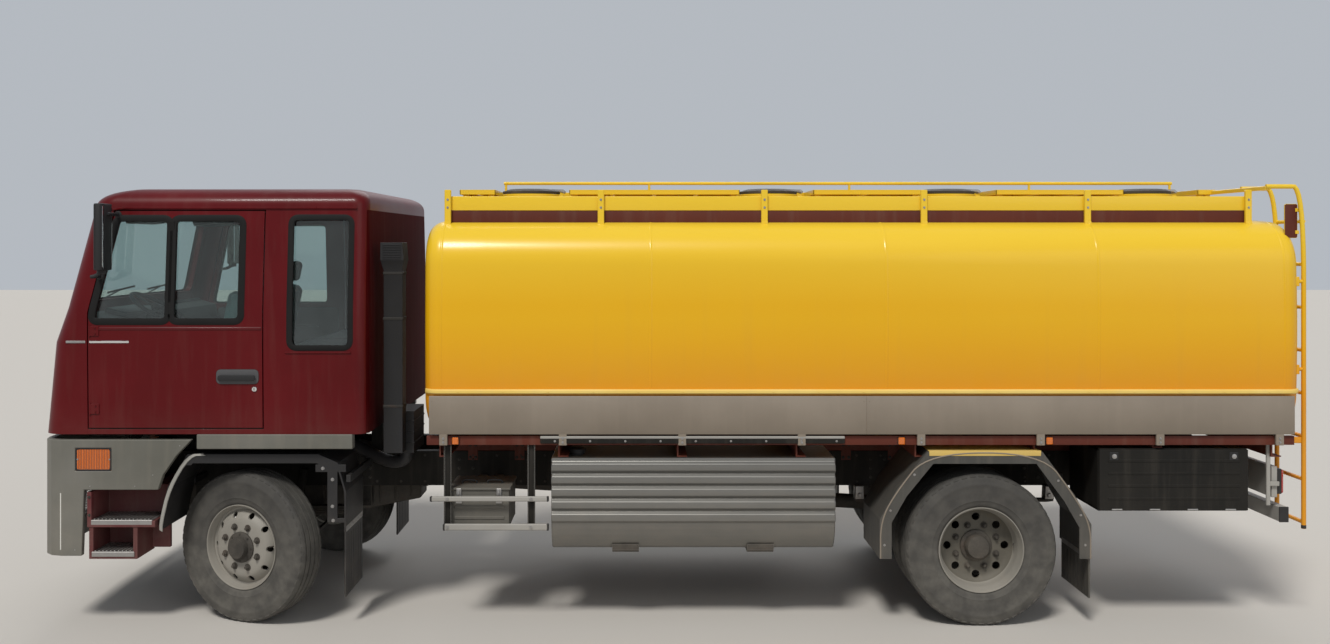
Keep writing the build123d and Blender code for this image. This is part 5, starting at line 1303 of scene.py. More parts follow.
def makeBumper():
    panel = softNode("front_bumper", bumperGrey, 0.008, 22)
    for vertex in panel.data.vertices:
        vertex.co.x = max(vertex.co.x, bumper["flat"])  # the flat panel that the number plate stands on
    bm = bmesh.new()
    z0, z1 = bumper["lampZ"]
    for y0, y1, part in ((0.652, 0.845, 0), (0.852, 0.998, 1)):  # headlamp and turn lamp glasses
        edges = between(y0, y1, bumper["cells"] + 1)
        for cell in zip(edges, edges[1:]):
            rows = ((0.006, z0), (0.003, (z0 + z1) / 2), (0.006, z1))
            addGrid(bm, [[(bumperFront(y) + sink, y, z) for y in cell] for sink, z in rows], part)
    reflector = [(0.080, 0.012), (0.070, 0.030), (0.045, 0.045), (0.018, 0.050), (0.018, 0.030), (0, 0.026)]
    addLathe(bm, reflector, (bumperFront(0.75) + 0.006, 0.75, 1.055), along, 32, 2)
    bezel = rounded(oblong((0.644, 1.006), (0.964, 1.146)), 0.02, 4)
    addSeal(bm, bezel, lambda y, z, d: Vector((bumperFront(y) - d, y, z)), 0.008, 0.010, 0.003, 3)
    corner = rounded(oblong((-3.994, -3.762), (1.050, 1.196)), 0.022, 4)  # fluted lamp on the corner
    addSeal(bm, corner, lambda x, z, d: Vector((x, 1.2185 + d, z)), 0.006, 0.009, 0.0035, 3)
    addFaces(bm, [(x, 1.2185, z) for x, z in corner], [range(len(corner))], 1)
    for x in spaced(-3.985, 0.0172, 13):
        addBox(bm, around(x, 0.0035), (1.217, 1.2205), (1.056, 1.190), 0.0015, 1)
    for x in (-3.985, -3.771):
        addLathe(bm, [(0, 0.002), (0.005, 0.0015), (0.006, 0)], (x, 1.2205, 1.123), across, 12, 4)
    addBox(bm, (-4.10, -4.07), (1.2195, 1.2245), (0.52, 0.90), 0.002, 5)  # whitish corner guide strip
    fixings = ((-3.48, 1.02), (-3.30, 1.215), (-3.60, 0.945), (-3.90, 0.945), (-4.0, 0.52))
    addBolts(bm, [(x, 1.2215, z) for x, z in fixings], across, 0.008, 4)
    addTwin(bm)
    for y in between(-0.6125, 0.6125, 56):  # mesh in the air slot
        addBox(bm, (-4.218, -4.214), around(y, 0.0015), (0.622, 0.798), 0.0, 3)
    for z in spaced(0.636, 0.0185, 9):
        addBox(bm, (-4.2185, -4.2135), (-0.618, 0.618), around(z, 0.0015), 0.0, 3)
    addBox(bm, (-4.2708, -4.2665), (-0.26, 0.26), (0.845, 0.965), 0.002, 3)  # a blank plate in its holder
    addBox(bm, (-4.2717, -4.2700), (-0.25, 0.25), (0.853, 0.957), 0.0006, 6)
    slot = rounded(oblong((-0.62, 0.62), (0.62, 0.80)), 0.01, 3)
    addSeal(bm, slot, lambda y, z, d: Vector((max(bumperFront(y), bumper["flat"]) - d, y, z)), 0.004, 0.012, 0.002, 3)
    eye = ((-4.17, 0.66), (-4.24, 0.655), (-4.255, 0.70), (-4.24, 0.745), (-4.17, 0.74))
    for y in (-0.385, 0.385):
        addTube(bm, [(x, y, z) for x, z in eye], 0.012, 12, 7, ease=3)
    finishes = [lensClear, lensAmber, chrome, blackPlastic, steel, creamWhite, plateWhite, castIron]
    makePiece("bumperFittings", bm, finishes)
    softNode("front_lamps", lampShell, 0.003, 30)


def makeSideTanks():
    bm = bmesh.new()
    outline = [(1.192, 1.112), (1.190, 1.127), (1.182, 1.129), (0.662, 1.129), (0.660, 1.127), (0.660, 0.502),
               (0.662, 0.500), (1.062, 0.500), (1.100, 0.512), (1.135, 0.545), (1.163, 0.590), (1.182, 0.640),
               (1.190, 0.672), (1.192, 0.690)]
    rib = ((1.192, 0.002), (1.196, 0.008), (1.206, 0.014), (1.2125, 0.022), (1.2135, 0.042), (1.2125, 0.062),
           (1.206, 0.070), (1.196, 0.076), (1.192, 0.082))
    for base in spaced(sideTank["foot"], sideTank["pitch"], sideTank["ribs"]):
        outline += [(y, base + z) for y, z in rib]
    x0, x1 = sideTank["x"]
    ends = ((x0, 0.985), (x0 + 0.006, 1.0), (x0 + 0.012, 1.0), (x1 - 0.012, 1.0), (x1 - 0.006, 1.0), (x1, 0.985))
    rings = [[Vector((x, y * s + (1 - s) * 0.93, 0.81 + (z - 0.81) * s)) for y, z in outline] for x, s in ends]
    addRings(bm, rings, capped=True)
    saddle = [(0.90, 0.478), (1.10, 0.478), (1.128, 0.497), (1.142, 0.540), (1.128, 0.540), (1.098, 0.512),
              (1.062, 0.501), (0.90, 0.501)]
    for hanger, x in sideTank["saddles"]:  # a dark saddle under the tank, and the hanger on the frame side
        addPrism(bm, saddle, *around(x, 0.09), 0.002, 1, axis="x")
        addBolts(bm, spots(around(x, 0.05), 1.00, [0.478]), (0, 0, -1), 0.014, 2)
        addBox(bm, around(hanger, 0.045), (0.424, 0.660), (0.822, 0.998), 0.005, 2)
        addBolts(bm, spots(around(hanger, 0.028), 0.655, (0.86, 0.96)), across, 0.014, 2)
    filler = [(0.0, 0.0), (0.048, 0.0), (0.048, 0.014), (0.056, 0.016), (0.056, 0.036), (0.048, 0.042), (0.0, 0.042)]
    addLathe(bm, filler, (-0.66, 1.02, 1.127), upward, 28, 3)
    addLathe(bm, [(0.022, 0), (0.022, 0.008), (0.0, 0.012)], (0.12, 0.90, 0.500), (0, 0, -1), 6, 3)
    addTwin(bm)
    makePiece("sideTanks", bm, [ribbedMetal, saddleBlack, steel, blackPlastic], ["side_tanks"], 32)


makeSkirts()
makeSubframe()
makeFrame()
makeGuards()
makeSteps()
makeBumper()
makeSideTanks()
print("lower body made")

cabinet = {"x": (2.835, 3.835), "y": (-1.185, -0.620), "z": (0.773, 1.190), "sheet": 0.018, "centre": 0.990,
           "outlets": (3.035, 3.335, 3.635)}
axle = {"front": -2.832, "rear": 2.055, "hub": 0.509}
frontSpring = {"x": -2.832, "y": 0.385, "seat": 0.566, "leaf": 0.028, "half": 0.640}
rearSpring = {"x": 2.055, "y": 0.415, "seat": 0.601, "leaf": 0.034, "half": 0.720}
down, left = (0, 0, -1), (0, -1, 0)


def makeSideGuards():
    bm = bmesh.new()
    for low, high, front in ((0.840, 0.873, -1.632), (0.647, 0.690, -1.545)):
        addBox(bm, (front, -0.845), (1.190, 1.215), (low, high), 0.006, 0)
        for x in ((front - 0.004, front + 0.012), (-0.857, -0.841)):
            addBox(bm, x, (1.189, 1.216), (low - 0.001, high + 0.001), 0.004, 1)
    post = [(-0.025, 1.168), (0.025, 1.168), (0.025, 1.190), (0.019, 1.190), (0.019, 1.174), (-0.019, 1.174),
            (-0.019, 1.190), (-0.025, 1.190)]
    for x in (-1.520, -0.960):
        addPrism(bm, [(x + dx, y) for dx, y in post], 0.647, 1.215, 0.0008, 3, axis="z")
    addBolts(bm, spots((-1.520, -0.960), 1.215, (0.8565, 0.6685)), across, 0.014, 2)
    # the strip's lower part is painted black as painted shade under the skirts; its top bead stays pale grey
    addBox(bm, (-0.898, 1.135), (1.207, 1.2205), (1.228, 1.262), 0.003, 3)
    addBox(bm, (-0.898, 1.135), (1.207, 1.222), (1.260, 1.278), 0.004, 0)
    addBolts(bm, spots(spaced(-0.80, 0.235, 9), 1.2205, [1.245]), across, 0.009, 2)
    addTwin(bm)
    makePiece("sideGuards", bm, [guardGrey, blackPlastic, steel, frameBlack], ["side_guards"])


def makeBattery():
    softNode("battery_box", batteryGrey, 0.008, 30)
    bm = bmesh.new()
    for z in (0.72, 0.79, 0.86):
        addBox(bm, (-1.480, -1.144), (-1.1555, -1.1485), around(z, 0.011), 0.004, 0)
    for x in (-1.45, -1.18):  # clips
        addBox(bm, around(x, 0.018), (-1.1635, -1.150), (0.845, 0.918), 0.004, 1)
        addTube(bm, [(x, -1.166, 0.912), (x, -1.172, 0.880), (x, -1.162, 0.845)], 0.004, 8, 1, ease=2)
        addBox(bm, around(x, 0.022), (-1.158, -1.145), (0.815, 0.850), 0.003, 1)
    for x in (-1.40, -1.225):  # handles
        grip = ((-0.05, 0.921), (-0.05, 0.945), (0.05, 0.945), (0.05, 0.921))
        addTube(bm, [(x + dx, -0.99, z) for dx, z in grip], 0.006, 8, 2, ease=3)
    addBolts(bm, spots((-1.37, -1.254), -0.719, (0.84, 0.87)), across, 0.012, 1)
    for x, y in itertools.product((-1.482, -1.142), (-0.76, -1.11)):
        addLathe(bm, [(0.012, 0), (0.012, 0.004), (0, 0.004)], (x, y, 0.653), down, 12, 1)
    makePiece("batteryFittings", bm, [batteryGrey, steel, blackPlastic])


def makeAirTanks():
    bm = bmesh.new()
    y = 0.720
    dome = [(0, -0.2775), (0.030, -0.276), (0.062, -0.268), (0.081, -0.255), (0.0885, -0.238), (0.0885, -0.232),
            (0.0895, -0.231)]
    strap = [(0.0885, -0.017), (0.0915, -0.017), (0.0915, 0.017), (0.0885, 0.017)]
    drain = [(0.014, 0.0), (0.014, 0.012), (0.007, 0.016), (0.007, 0.026), (0, 0.026)]
    for z in (0.760, 0.960):
        addLathe(bm, dome + [(r, -h) for r, h in reversed(dome)], (-1.280, y, z), along, 40, 0)
        for x in (-1.44, -1.12):
            addLathe(bm, strap, (x, y, z), along, 40, 1, True)
            addRod(bm, (x, 0.806, z), (x, 0.822, z + 0.004), 0.006, 10, 1)
        addLathe(bm, drain, (-1.28, y, z - 0.087), down, 12, 2)
        addLathe(bm, [(0.013, 0.0), (0.013, 0.016), (0, 0.016)], (-1.002, y, z + 0.03), along, 6, 2)
        pipe = [(-1.002, y, z + 0.03), (-0.955, y, z + 0.03), (-0.925, 0.70, z + 0.03), (-0.92, 0.56, z + 0.01),
                (-0.92, 0.425, 0.93)]
        addTube(bm, pipe, 0.006, 8, 3, ease=3)
    bracket = [(0.425, 0.80), (0.425, 1.00), (0.52, 1.00), (0.640, 0.99), (0.66, 0.965), (0.64, 0.94), (0.625, 0.86),
               (0.64, 0.80)]
    for x in (-1.440, -1.120):
        addPrism(bm, bracket, *around(x, 0.019), 0.002, 1, axis="x")
    addBolts(bm, spots((-1.440, -1.120), 0.428, (0.83, 0.97)), left, 0.014, 1)
    makePiece("airReservoirs", bm, [frameBlack, castIron, brass, hosePlastic], ["air_tanks"])


def makeIntake():
    softNode("air_intake", blackPlastic, 0.010, 30)
    bm = bmesh.new()
    for z in spaced(2.462, 0.0115, 9):
        addBox(bm, (-1.985, -1.858), (-1.0545, -1.0505), around(z, 0.0035), 0.0015, 0)
    for z in (1.45, 2.05, 2.36):
        addBox(bm, (-1.989, -1.851), (-1.0135, -0.877), around(z, 0.010), 0.003, 1)
    for z in (1.18, 1.255, 1.33):
        addBox(bm, (-1.994, -1.796), (-0.885, -0.466), around(z, 0.006), 0.003, 0)
    addBox(bm, (-1.94, -1.90), (-0.885, -0.70), (1.395, 1.425), 0.004, 1)
    trunk = [(-1.895, -0.60, 1.115), (-1.90, -0.60, 1.02), (-2.02, -0.56, 0.985), (-2.22, -0.47, 1.06),
             (-2.42, -0.34, 1.13)]
    addTube(bm, trunk, 0.045, 20, 2, ease=4)
    makePiece("intakeFittings", bm, [blackPlastic, castIron, hosePlastic])


def makeCabinet():
    (x0, x1), (y0, y1), (z0, z1) = cabinet["x"], cabinet["y"], cabinet["z"]
    bm = bmesh.new()
    sheet, centre = cabinet["sheet"], cabinet["centre"]
    for x, y, z in (((x0, x1), (y0, y1), (z1 - sheet, z1)), ((x0, x1), (y0, y1), (z0, z0 + sheet)),
                    ((x0, x0 + sheet), (y0, y1), (z0, z1)), ((x1 - sheet, x1), (y0, y1), (z0, z1)),
                    ((x0, x1), (y1 - sheet, y1), (z0, z1))):
        addBox(bm, x, y, z)
    for x in (x0 + 0.012, x1 - 0.012):
        addBox(bm, around(x, 0.010), (y0 + 0.030, y1 - 0.02), (z0 + 0.02, z1 - 0.02), 0.002)
    for x in (3.000, 3.700):
        addBox(bm, around(x, 0.030), (y1, -0.4255), (0.880, 0.940))
        addBolts(bm, [(x, -0.63, 0.94)], upward, 0.014, 2)
    manifold = [(0.0, -0.44), (0.045, -0.435), (0.050, -0.425), (0.050, 0.425), (0.045, 0.435), (0, 0.44)]
    addLathe(bm, manifold, (3.335, -0.700, centre), along, 32, 1)
    addBox(bm, (x0 + 0.06, x1 - 0.06), (-0.655, y1 - sheet), around(centre, 0.046), 0.006, 1)
    valve = [(0.040, 0.0), (0.040, 0.062), (0.058, 0.062), (0.058, 0.074), (0.041, 0.074), (0.041, 0.084),
             (0.050, 0.096), (0.053, 0.112), (0.050, 0.128), (0.041, 0.138), (0.058, 0.138), (0.058, 0.150),
             (0.044, 0.150), (0.044, 0.190), (0.050, 0.192), (0.050, 0.222), (0.054, 0.224), (0.054, 0.250),
             (0.048, 0.258), (0, 0.258)]
    for x in cabinet["outlets"]:  # each with a flange, a spherical valve, its lever and a cap
        addLathe(bm, valve, (x, -0.702, centre), left, 32, 1)
        for y, axis in ((-0.764, across), (-0.852, left)):
            ring = [(x + 0.0505 * math.cos(a), y, centre + 0.0505 * math.sin(a)) for a in bearings(6, 0.5)]
            addBolts(bm, ring, axis, 0.0085, 2)
        for edge in (-0.056, 0.056):
            addBox(bm, around(x + edge, 0.006), (-0.950, -0.905), (0.982, 0.998), 0.003, 3)
        addRod(bm, (x, -0.888, 1.036), (x, -0.888, 1.062), 0.009, 12, 2)
        addBox(bm, around(x, 0.012), (-0.900, -0.876), (1.055, 1.130), 0.004, 4)
    finishes = [frameBlack, ribbedMetal, steel, brass, stepRed]
    makePiece("valveCabinet", bm, finishes, ["valve_cabinet"])
    softNode("cabinet_door", frameBlack, 0.004, 30)
    trim = bmesh.new()
    for z in spaced(0.86, 0.084, 4):
        addBox(trim, (x0 + 0.06, x1 - 0.06), (-1.2100, -1.2045), around(z, 0.010), 0.0026, 0)
    for x in (x0 + 0.10, x1 - 0.10):
        addBox(trim, around(x, 0.030), (-1.2110, -1.2045), (1.115, 1.170), 0.003, 1)
        addLathe(trim, [(0.016, 0), (0.016, 0.006), (0.006, 0.008), (0, 0.008)], (x, -1.2110, 1.142), left, 16, 2)
    for x in spaced(x0 + 0.12, 0.253, 4):
        addRod(trim, (x - 0.035, -1.2055, 0.786), (x + 0.035, -1.2055, 0.786), 0.0055, 12, 2)
    makePiece("cabinetDoorFittings", trim, [frameBlack, blackPlastic, steel], body="cabinet_door")


def makeTail():
    softNode("rear_bumper", guardGrey, 0.008, 30)
    lamps = bmesh.new()
    for y0, y1, part in ((0.985, 1.108, 0), (0.860, 0.983, 1), (0.722, 0.858, 2)):
        addBox(lamps, (4.071, 4.1195), (y0, y1), (0.874, 1.036), 0.008, part)
    addBox(lamps, (4.070, 4.108), (0.720, 1.110), (0.870, 1.040), 0.006, 3)
    for x in (-1.465, 1.515, 2.502):  # side markers
        addBox(lamps, around(x, 0.025), (1.200, 1.209), (1.218, 1.272), 0.003, 3)
        addBox(lamps, around(x, 0.022), (1.208, 1.2215), (1.221, 1.269), 0.005, 1)
    addTwin(lamps)
    makePiece("tailLamps", lamps, [lensRed, lensAmber, lensClear, blackPlastic], ["rear_lamps"])
    trim = bmesh.new()
    addBox(trim, (4.068, 4.132), (1.140, 1.151), (0.688, 0.792), 0.003, 0)
    for y in spaced(0.16, 0.12, 8):
        addBox(trim, (4.1290, 4.1312), (y, y + 0.058), (0.722, 0.758), 0.0008, 1)
    for y in (0.76, 1.06):
        addBolts(trim, spots([4.028], y, (0.88, 1.03)), (-1, 0, 0), 0.014, 2)
    addBox(trim, (3.985, 4.012), (1.128, 1.146), (0.80, 1.225), 0.004, 3)  # stay seen at the rear corner
    addBox(trim, (4.000, 4.075), (1.128, 1.140), (0.93, 0.96), 0.003, 3)
    addTwin(trim)
    addBox(trim, (4.1305, 4.1335), (-0.26, 0.26), (0.860, 0.972), 0.002, 0)
    addBox(trim, (4.1325, 4.1345), (-0.25, 0.25), (0.867, 0.965), 0.001, 4)
    makePiece("tailFittings", trim, [blackPlastic, lensRed, steel, guardGrey, plateWhite])


def addSpring(bm, spring):
    x, y, seat, leaf, half = [spring[key] for key in ("x", "y", "seat", "leaf", "half")]
    top, thick = seat + 3 * leaf, leaf * 0.6
    for k, share in enumerate((0.40, 0.55, 0.70, 0.85, 1.0)):
        reach, z = half * share, seat + k * thick
        section = [(x - reach, z + thick * 0.35), (x - reach + 0.05, z + 0.001), (x + reach - 0.05, z + 0.001),
                   (x + reach, z + thick * 0.35), (x + reach, z + thick - 0.001), (x - reach, z + thick - 0.001)]
        addPrism(bm, section, *around(y, 0.0385), 0.0012, 0)
    for end in (-1, 1):  # hangers with pins, clips and U-bolts
        hanger = x + end * (half - 0.030)
        plate = ((-0.034, top), (0.034, top), (0.030, 0.79), (0.034, 0.80), (-0.034, 0.80), (-0.030, 0.79))
        addPrism(bm, [(hanger + dx, z) for dx, z in plate], *around(y, 0.040), 0.003, 1)
        addRod(bm, (hanger, y - 0.052, top + 0.030), (hanger, y + 0.052, top + 0.030), 0.016, 16, 1)
        addBox(bm, around(x + end * half * 0.55, 0.014), around(y, 0.044), (seat + leaf * 1.15, top + 0.006), 0.002, 1)
        for leg in around(y, 0.047):
            bolt = x + end * 0.055
            addRod(bm, (bolt, leg, seat - 0.085), (bolt, leg, top + 0.026), 0.009, 12, 1)
            addLathe(bm, [(0.016, 0), (0.016, 0.016), (0, 0.016)], (bolt, leg, seat - 0.060), down, 6, 1)
    addBox(bm, around(x, 0.080), around(y, 0.056), (seat - 0.020, seat + 0.001), 0.004, 1)
    addBox(bm, around(x, 0.080), around(y, 0.056), (top, top + 0.026), 0.006, 1)


def makeFrontAxle():
    bm = bmesh.new()
    x = axle["front"]
    addSpring(bm, frontSpring)
    addPrism(bm, oblong(around(x, 0.044), (0.458, 0.546)), 0.698, 0.822, 0.008, 2)
    kingpin = [(0.0255, -0.055), (0.048, -0.055), (0.048, 0.055), (0.0255, 0.055)]
    addLathe(bm, kingpin, (x, 0.850, 0.505), upward, 32, 2, True)
    addRod(bm, (x + 0.10, 0.47, 0.545), (x + 0.14, 0.455, 0.80), 0.022, 18, 1)  # damper beside the spring
    addRod(bm, (x + 0.135, 0.457, 0.76), (x + 0.16, 0.448, 0.93), 0.028, 18, 1)
    addRod(bm, (x + 0.16, 0.42, 0.915), (x + 0.16, 0.476, 0.915), 0.012, 14, 1)
    addBox(bm, (x + 0.07, x + 0.13), (0.425, 0.485), (0.546, 0.560), 0.003, 1)
    addTwin(bm)
    beam = [(-0.044, 0.458), (0.044, 0.458), (0.044, 0.476), (0.014, 0.480), (0.014, 0.524), (0.044, 0.528),
            (0.044, 0.546), (-0.044, 0.546), (-0.044, 0.528), (-0.014, 0.524), (-0.014, 0.480), (-0.044, 0.476)]
    addPrism(bm, [(x + dx, z) for dx, z in beam], -0.700, 0.700, 0.002, 2)
    makePiece("frontAxle", bm, [castIron, frameBlack, castIron], ["front_axle"], 32)


def makeRearAxle():
    bm = bmesh.new()
    x, hub = axle["rear"], axle["hub"]
    addSpring(bm, rearSpring)
    chamber = [(0, -0.085), (0.045, -0.083), (0.072, -0.070), (0.076, -0.045), (0.082, -0.044), (0.082, -0.034),
               (0.076, -0.033), (0.074, 0.010), (0.060, 0.045), (0, 0.050)]
    addLathe(bm, chamber, (x - 0.20, 0.52, 0.53), (-0.96, 0, 0.28), 32, 2)  # brake chamber and slack adjuster
    addRod(bm, (x - 0.12, 0.52, 0.50), (x - 0.02, 0.52, 0.475), 0.009, 12, 1)
    addBox(bm, (x - 0.19, x + 0.02), (0.490, 0.550), (0.437, 0.453), 0.003, 0)
    addTwin(bm)
    half = [(0, 0.940), (0.058, 0.938), (0.058, 0.640), (0.066, 0.628), (0.082, 0.600), (0.082, 0.260), (0.100, 0.225),
            (0.150, 0.150), (0.180, 0.105), (0.190, 0.070)]
    addLathe(bm, [(r, -h) for r, h in half] + half[::-1], (x, 0, hub), across, 44, 0)
    cover = [(0.150, 0.0), (0.150, 0.016), (0.132, 0.040), (0.08, 0.062), (0, 0.070)]
    addLathe(bm, cover, (x + 0.150, 0, hub), along, 40, 0)
    ring = [(x + 0.166, 0.140 * math.cos(a), hub + 0.140 * math.sin(a)) for a in bearings(12)]
    addBolts(bm, ring, along, 0.016, 1)
    pinion = [(0.115, 0.0), (0.115, 0.05), (0.080, 0.10), (0.070, 0.16), (0, 0.16)]
    addLathe(bm, pinion, (x - 0.15, 0, hub + 0.02), (-0.98, 0, 0.2), 32, 0)
    makePiece("rearAxle", bm, [castIron, steel, frameBlack], ["rear_axle"], 32)


def makePowertrain():
    softNode("powertrain", castIron, 0.012, 32)
    bm = bmesh.new()
    for x in spaced(-3.56, 0.105, 9):  # ribs of the block and the sump's bolts
        addBox(bm, around(x, 0.010), (0.318, 0.328), (0.64, 1.34), 0.004, 0)
        addBolts(bm, [(x + 0.05, 0.255, 0.588)], down, 0.013, 1)
    for x in spaced(-2.50, 0.11, 6):  # ribs of the tapering gearbox
        taper = (x + 2.56) / 0.68
        half, low, high = 0.280 - taper * 0.140, 0.54 + taper * 0.110, 1.06 - taper * 0.110
        addBox(bm, around(x, 0.007), (half - 0.004, half + 0.010), (low + 0.03, high - 0.03), 0.003, 0)
    addTwin(bm)
    addBox(bm, (-3.58, -2.66), (-0.26, 0.26), (0.575, 0.602), 0.010, 0)
    addBox(bm, (-3.56, -3.05), (-0.20, 0.20), (0.520, 0.580), 0.018, 0)
    start, end = Vector((-1.890, 0, 0.790)), Vector((1.905, 0, 0.569))
    run = (end - start).normalized()
    for place, size in ((0.03, 0.072), (0.10, 0.062), (1.90, 0.060), (3.62, 0.062), (3.74, 0.072)):
        flange = [(0.050, -0.018), (size, -0.016), (size, 0.016), (0.050, 0.018)]
        addLathe(bm, flange, start + run * place, run, 28, 0, True)
    side, up = run.cross(Vector(upward)).normalized(), Vector(upward)
    ring = [start + run * 0.048 + (side * math.cos(a) + up * math.sin(a)) * 0.062 for a in bearings(8)]
    addBolts(bm, ring, run, 0.012, 1)
    makePiece("powertrainFittings", bm, [castIron, steel])


makeSideGuards()
makeBattery()
makeAirTanks()
makeIntake()
makeCabinet()
makeTail()
makeFrontAxle()
makeRearAxle()
for steered, angle in (("knuckle_front_left", 28), ("knuckle_front_right", 28), ("tie_rod", 30)):
    softNode(steered, castIron, 0.003, angle)
makePowertrain()
softNode("cab_sills", bumperGrey, 0.006, 30)
print("running gear made")

seat = {"rows": (-0.560, 0.560), "centre": (-3.690, -0.560, 2.090), "tilt": 32, "back": (-3.170, 1.700), "backTilt": 12}
padding = {"frames": 20, "pressure": 4, "tension": 20, "bending": 2, "pull": 0.010, "groove": 0.009, "margin": 0.0005}


def makeFloor():
    bm = nodeMesh("cab_floor")
    for face in bm.faces:
        centre = face.calc_center_median()
        if centre.z < 1.327 and abs(centre.y) > 1.10 and abs(face.normal.y) > 0.5:
            face.material_index = 1
        elif centre.z < 1.30 or centre.x < -4.05:
            face.material_index = 2
    piece = makePiece("cabFloor", bm, [floorMat, cabRed, frameBlack], ["cab_floor"], 30, "cab")
    roundEdges(piece, 0.004, 35, harden=False)
    trim = bmesh.new()
    for x in spaced(-3.86, 0.026, 22):  # ribbed mats in the footwells
        addBox(trim, around(x, 0.005), (0.46, 1.08), (1.324, 1.3295), 0.0015, 0)
    addTwin(trim)
    for y, x, wide in ((-0.43, -3.80, 0.075), (-0.58, -3.80, 0.075), (-0.72, -3.82, 0.055)):  # pedals
        addBar(trim, [(x + 0.02, y, 1.42), (x - 0.09, y, 1.60)], 0.016, 0.010, 0.002, 1, across)
        addBox(trim, (x - 0.005, x + 0.055), around(y, wide / 2), (1.405, 1.425), 0.005, 2)
    lever = [(-3.42, -0.10, 1.50), (-3.42, -0.10, 1.62), (-3.46, -0.13, 1.78), (-3.47, -0.14, 1.90)]
    addTube(trim, lever, 0.010, 14, 1, ease=3)
    knob = [(0, 0.034), (0.014, 0.030), (0.023, 0.018), (0.025, 0.0), (0.018, -0.020), (0.010, -0.028), (0, -0.028)]
    addLathe(trim, knob, (-3.472, -0.142, 1.915), upward, 24, 2)
    gaiter = [(0.075, 0), (0.070, 0.012), (0.052, 0.030), (0.056, 0.036), (0.040, 0.055), (0.044, 0.060), (0.028, 0.080),
              (0.012, 0.088), (0, 0.088)]
    addLathe(trim, gaiter, (-3.42, -0.10, 1.500), upward, 28, 2)
    addTube(trim, [(-3.05, -0.20, 1.50), (-3.09, -0.20, 1.60), (-3.14, -0.20, 1.66)], 0.012, 14, 2, ease=2)
    addBox(trim, (-3.30, -2.90), (-0.26, 0.10), (1.500, 1.53), 0.012, 3)
    makePiece("footwell", trim, [floorMat, steel, blackPlastic, trimPlastic], body="cab")


def makeDash():
    softNode("dashboard", trimPlastic, 0.022, 24)
    bm = bmesh.new()
    top, foot = Vector((-3.840, 0, 2.050)), Vector((-3.800, 0, 1.860))
    fall = (foot - top).normalized()
    out = Vector((-fall.z, 0, fall.x))

    def onFace(y, drop, lift=0.0):  # a point of the sloping face
        return top + fall * drop + out * lift + Vector((0, y, 0))

    dials = ((-0.66, 0.075, 0.048), (-0.50, 0.075, 0.048), (-0.58, 0.145, 0.026), (-0.75, 0.14, 0.022),
             (-0.42, 0.14, 0.022))
    for y, drop, size in dials:
        rim = [(size, -0.002), (size, 0.006), (size * 0.86, 0.008), (size * 0.84, 0.002), (0, 0.001)]
        addLathe(bm, rim, onFace(y, drop), out, 28, 0)
        addLathe(bm, [(size * 0.80, 0.0), (size * 0.80, 0.0022), (0, 0.0022)], onFace(y, drop), out, 28, 2)
        needle = [onFace(y, drop, 0.0035), onFace(y + size * 0.5, drop - size * 0.45, 0.0035)]
        addBar(bm, needle, 0.0025, 0.0010, 0.0, 3, along)
    for y in (-1.00, -0.20, 0.20, 1.00):  # vents, then a bank of switches
        for drop in spaced(0.035, 0.015, 5):
            addBar(bm, [onFace(y - 0.062, drop, 0.004), onFace(y + 0.062, drop, 0.004)], 0.010, 0.003, 0.001, 0, out)
    for y in spaced(-0.16, 0.052, 7):
        x, _, z = onFace(y, 0.155, 0.003)
        addBox(bm, (x - 0.004, x + 0.006), around(y, 0.020), around(z, 0.013), 0.003, 1)
    hood = [(-3.965, 2.084), (-3.835, 2.050), (-3.800, 2.064), (-3.806, 2.082), (-3.950, 2.118)]
    addPrism(bm, hood, -0.84, -0.32, 0.006, 1)
    addPrism(bm, oblong((-3.970, -3.950), (2.084, 2.105)), 0.25, 1.06, 0.004, 1)  # edge of the paper shelf
    addBox(bm, (-3.853, -3.838), (0.30, 0.92), (1.70, 1.83), 0.008, 1)  # glove box and its catch
    addBox(bm, (-3.846, -3.830), (0.56, 0.66), (1.795, 1.812), 0.004, 0)
    makePiece("dashFittings", bm, [blackPlastic, trimPlastic, dialFace, creamWhite], body="cab")


def makeSteeringWheel():
    tilt = math.radians(seat["tilt"])
    centre, side = Vector(seat["centre"]), Vector(across)
    axis = Vector((-math.sin(tilt), 0, -math.cos(tilt)))
    other = axis.cross(side).normalized()

    def outwards(bearing):
        return side * math.cos(bearing) + other * math.sin(bearing)

    bm = bmesh.new()
    addTube(bm, [centre + outwards(a) * 0.214 for a in bearings(40)], 0.0142, 14, 0, True, 1)
    for bearing in (8, 172, 270):
        spoke = outwards(math.radians(bearing))
        addBar(bm, [centre + spoke * 0.04, centre + spoke * 0.208], 0.032, 0.011, 0.004, 0, -axis)
    boss = [(0, -0.030), (0.040, -0.028), (0.058, -0.014), (0.060, 0.008), (0.048, 0.022), (0, 0.024)]
    addLathe(bm, boss, centre, axis, 32, 0)
    addLathe(bm, [(0.026, 0.0), (0.034, 0.03), (0.042, 0.06), (0.044, 0.328), (0, 0.33)], centre, axis, 24, 1)
    for edge in (-1, 1):  # stalks
        stalk = [centre + axis * 0.05 + side * edge * 0.03, centre + axis * 0.045 + side * edge * 0.16]
        addBar(bm, stalk, 0.014, 0.010, 0.003, 1, axis)
    makePiece("steeringWheel", bm, [blackPlastic, trimPlastic], ["steering_wheel"], 40, "cab")


def applyStack(piece):
    data = bpy.data.meshes.new_from_object(piece.evaluated_get(bpy.context.evaluated_depsgraph_get()))
    piece.modifiers.clear()
    piece.data = data


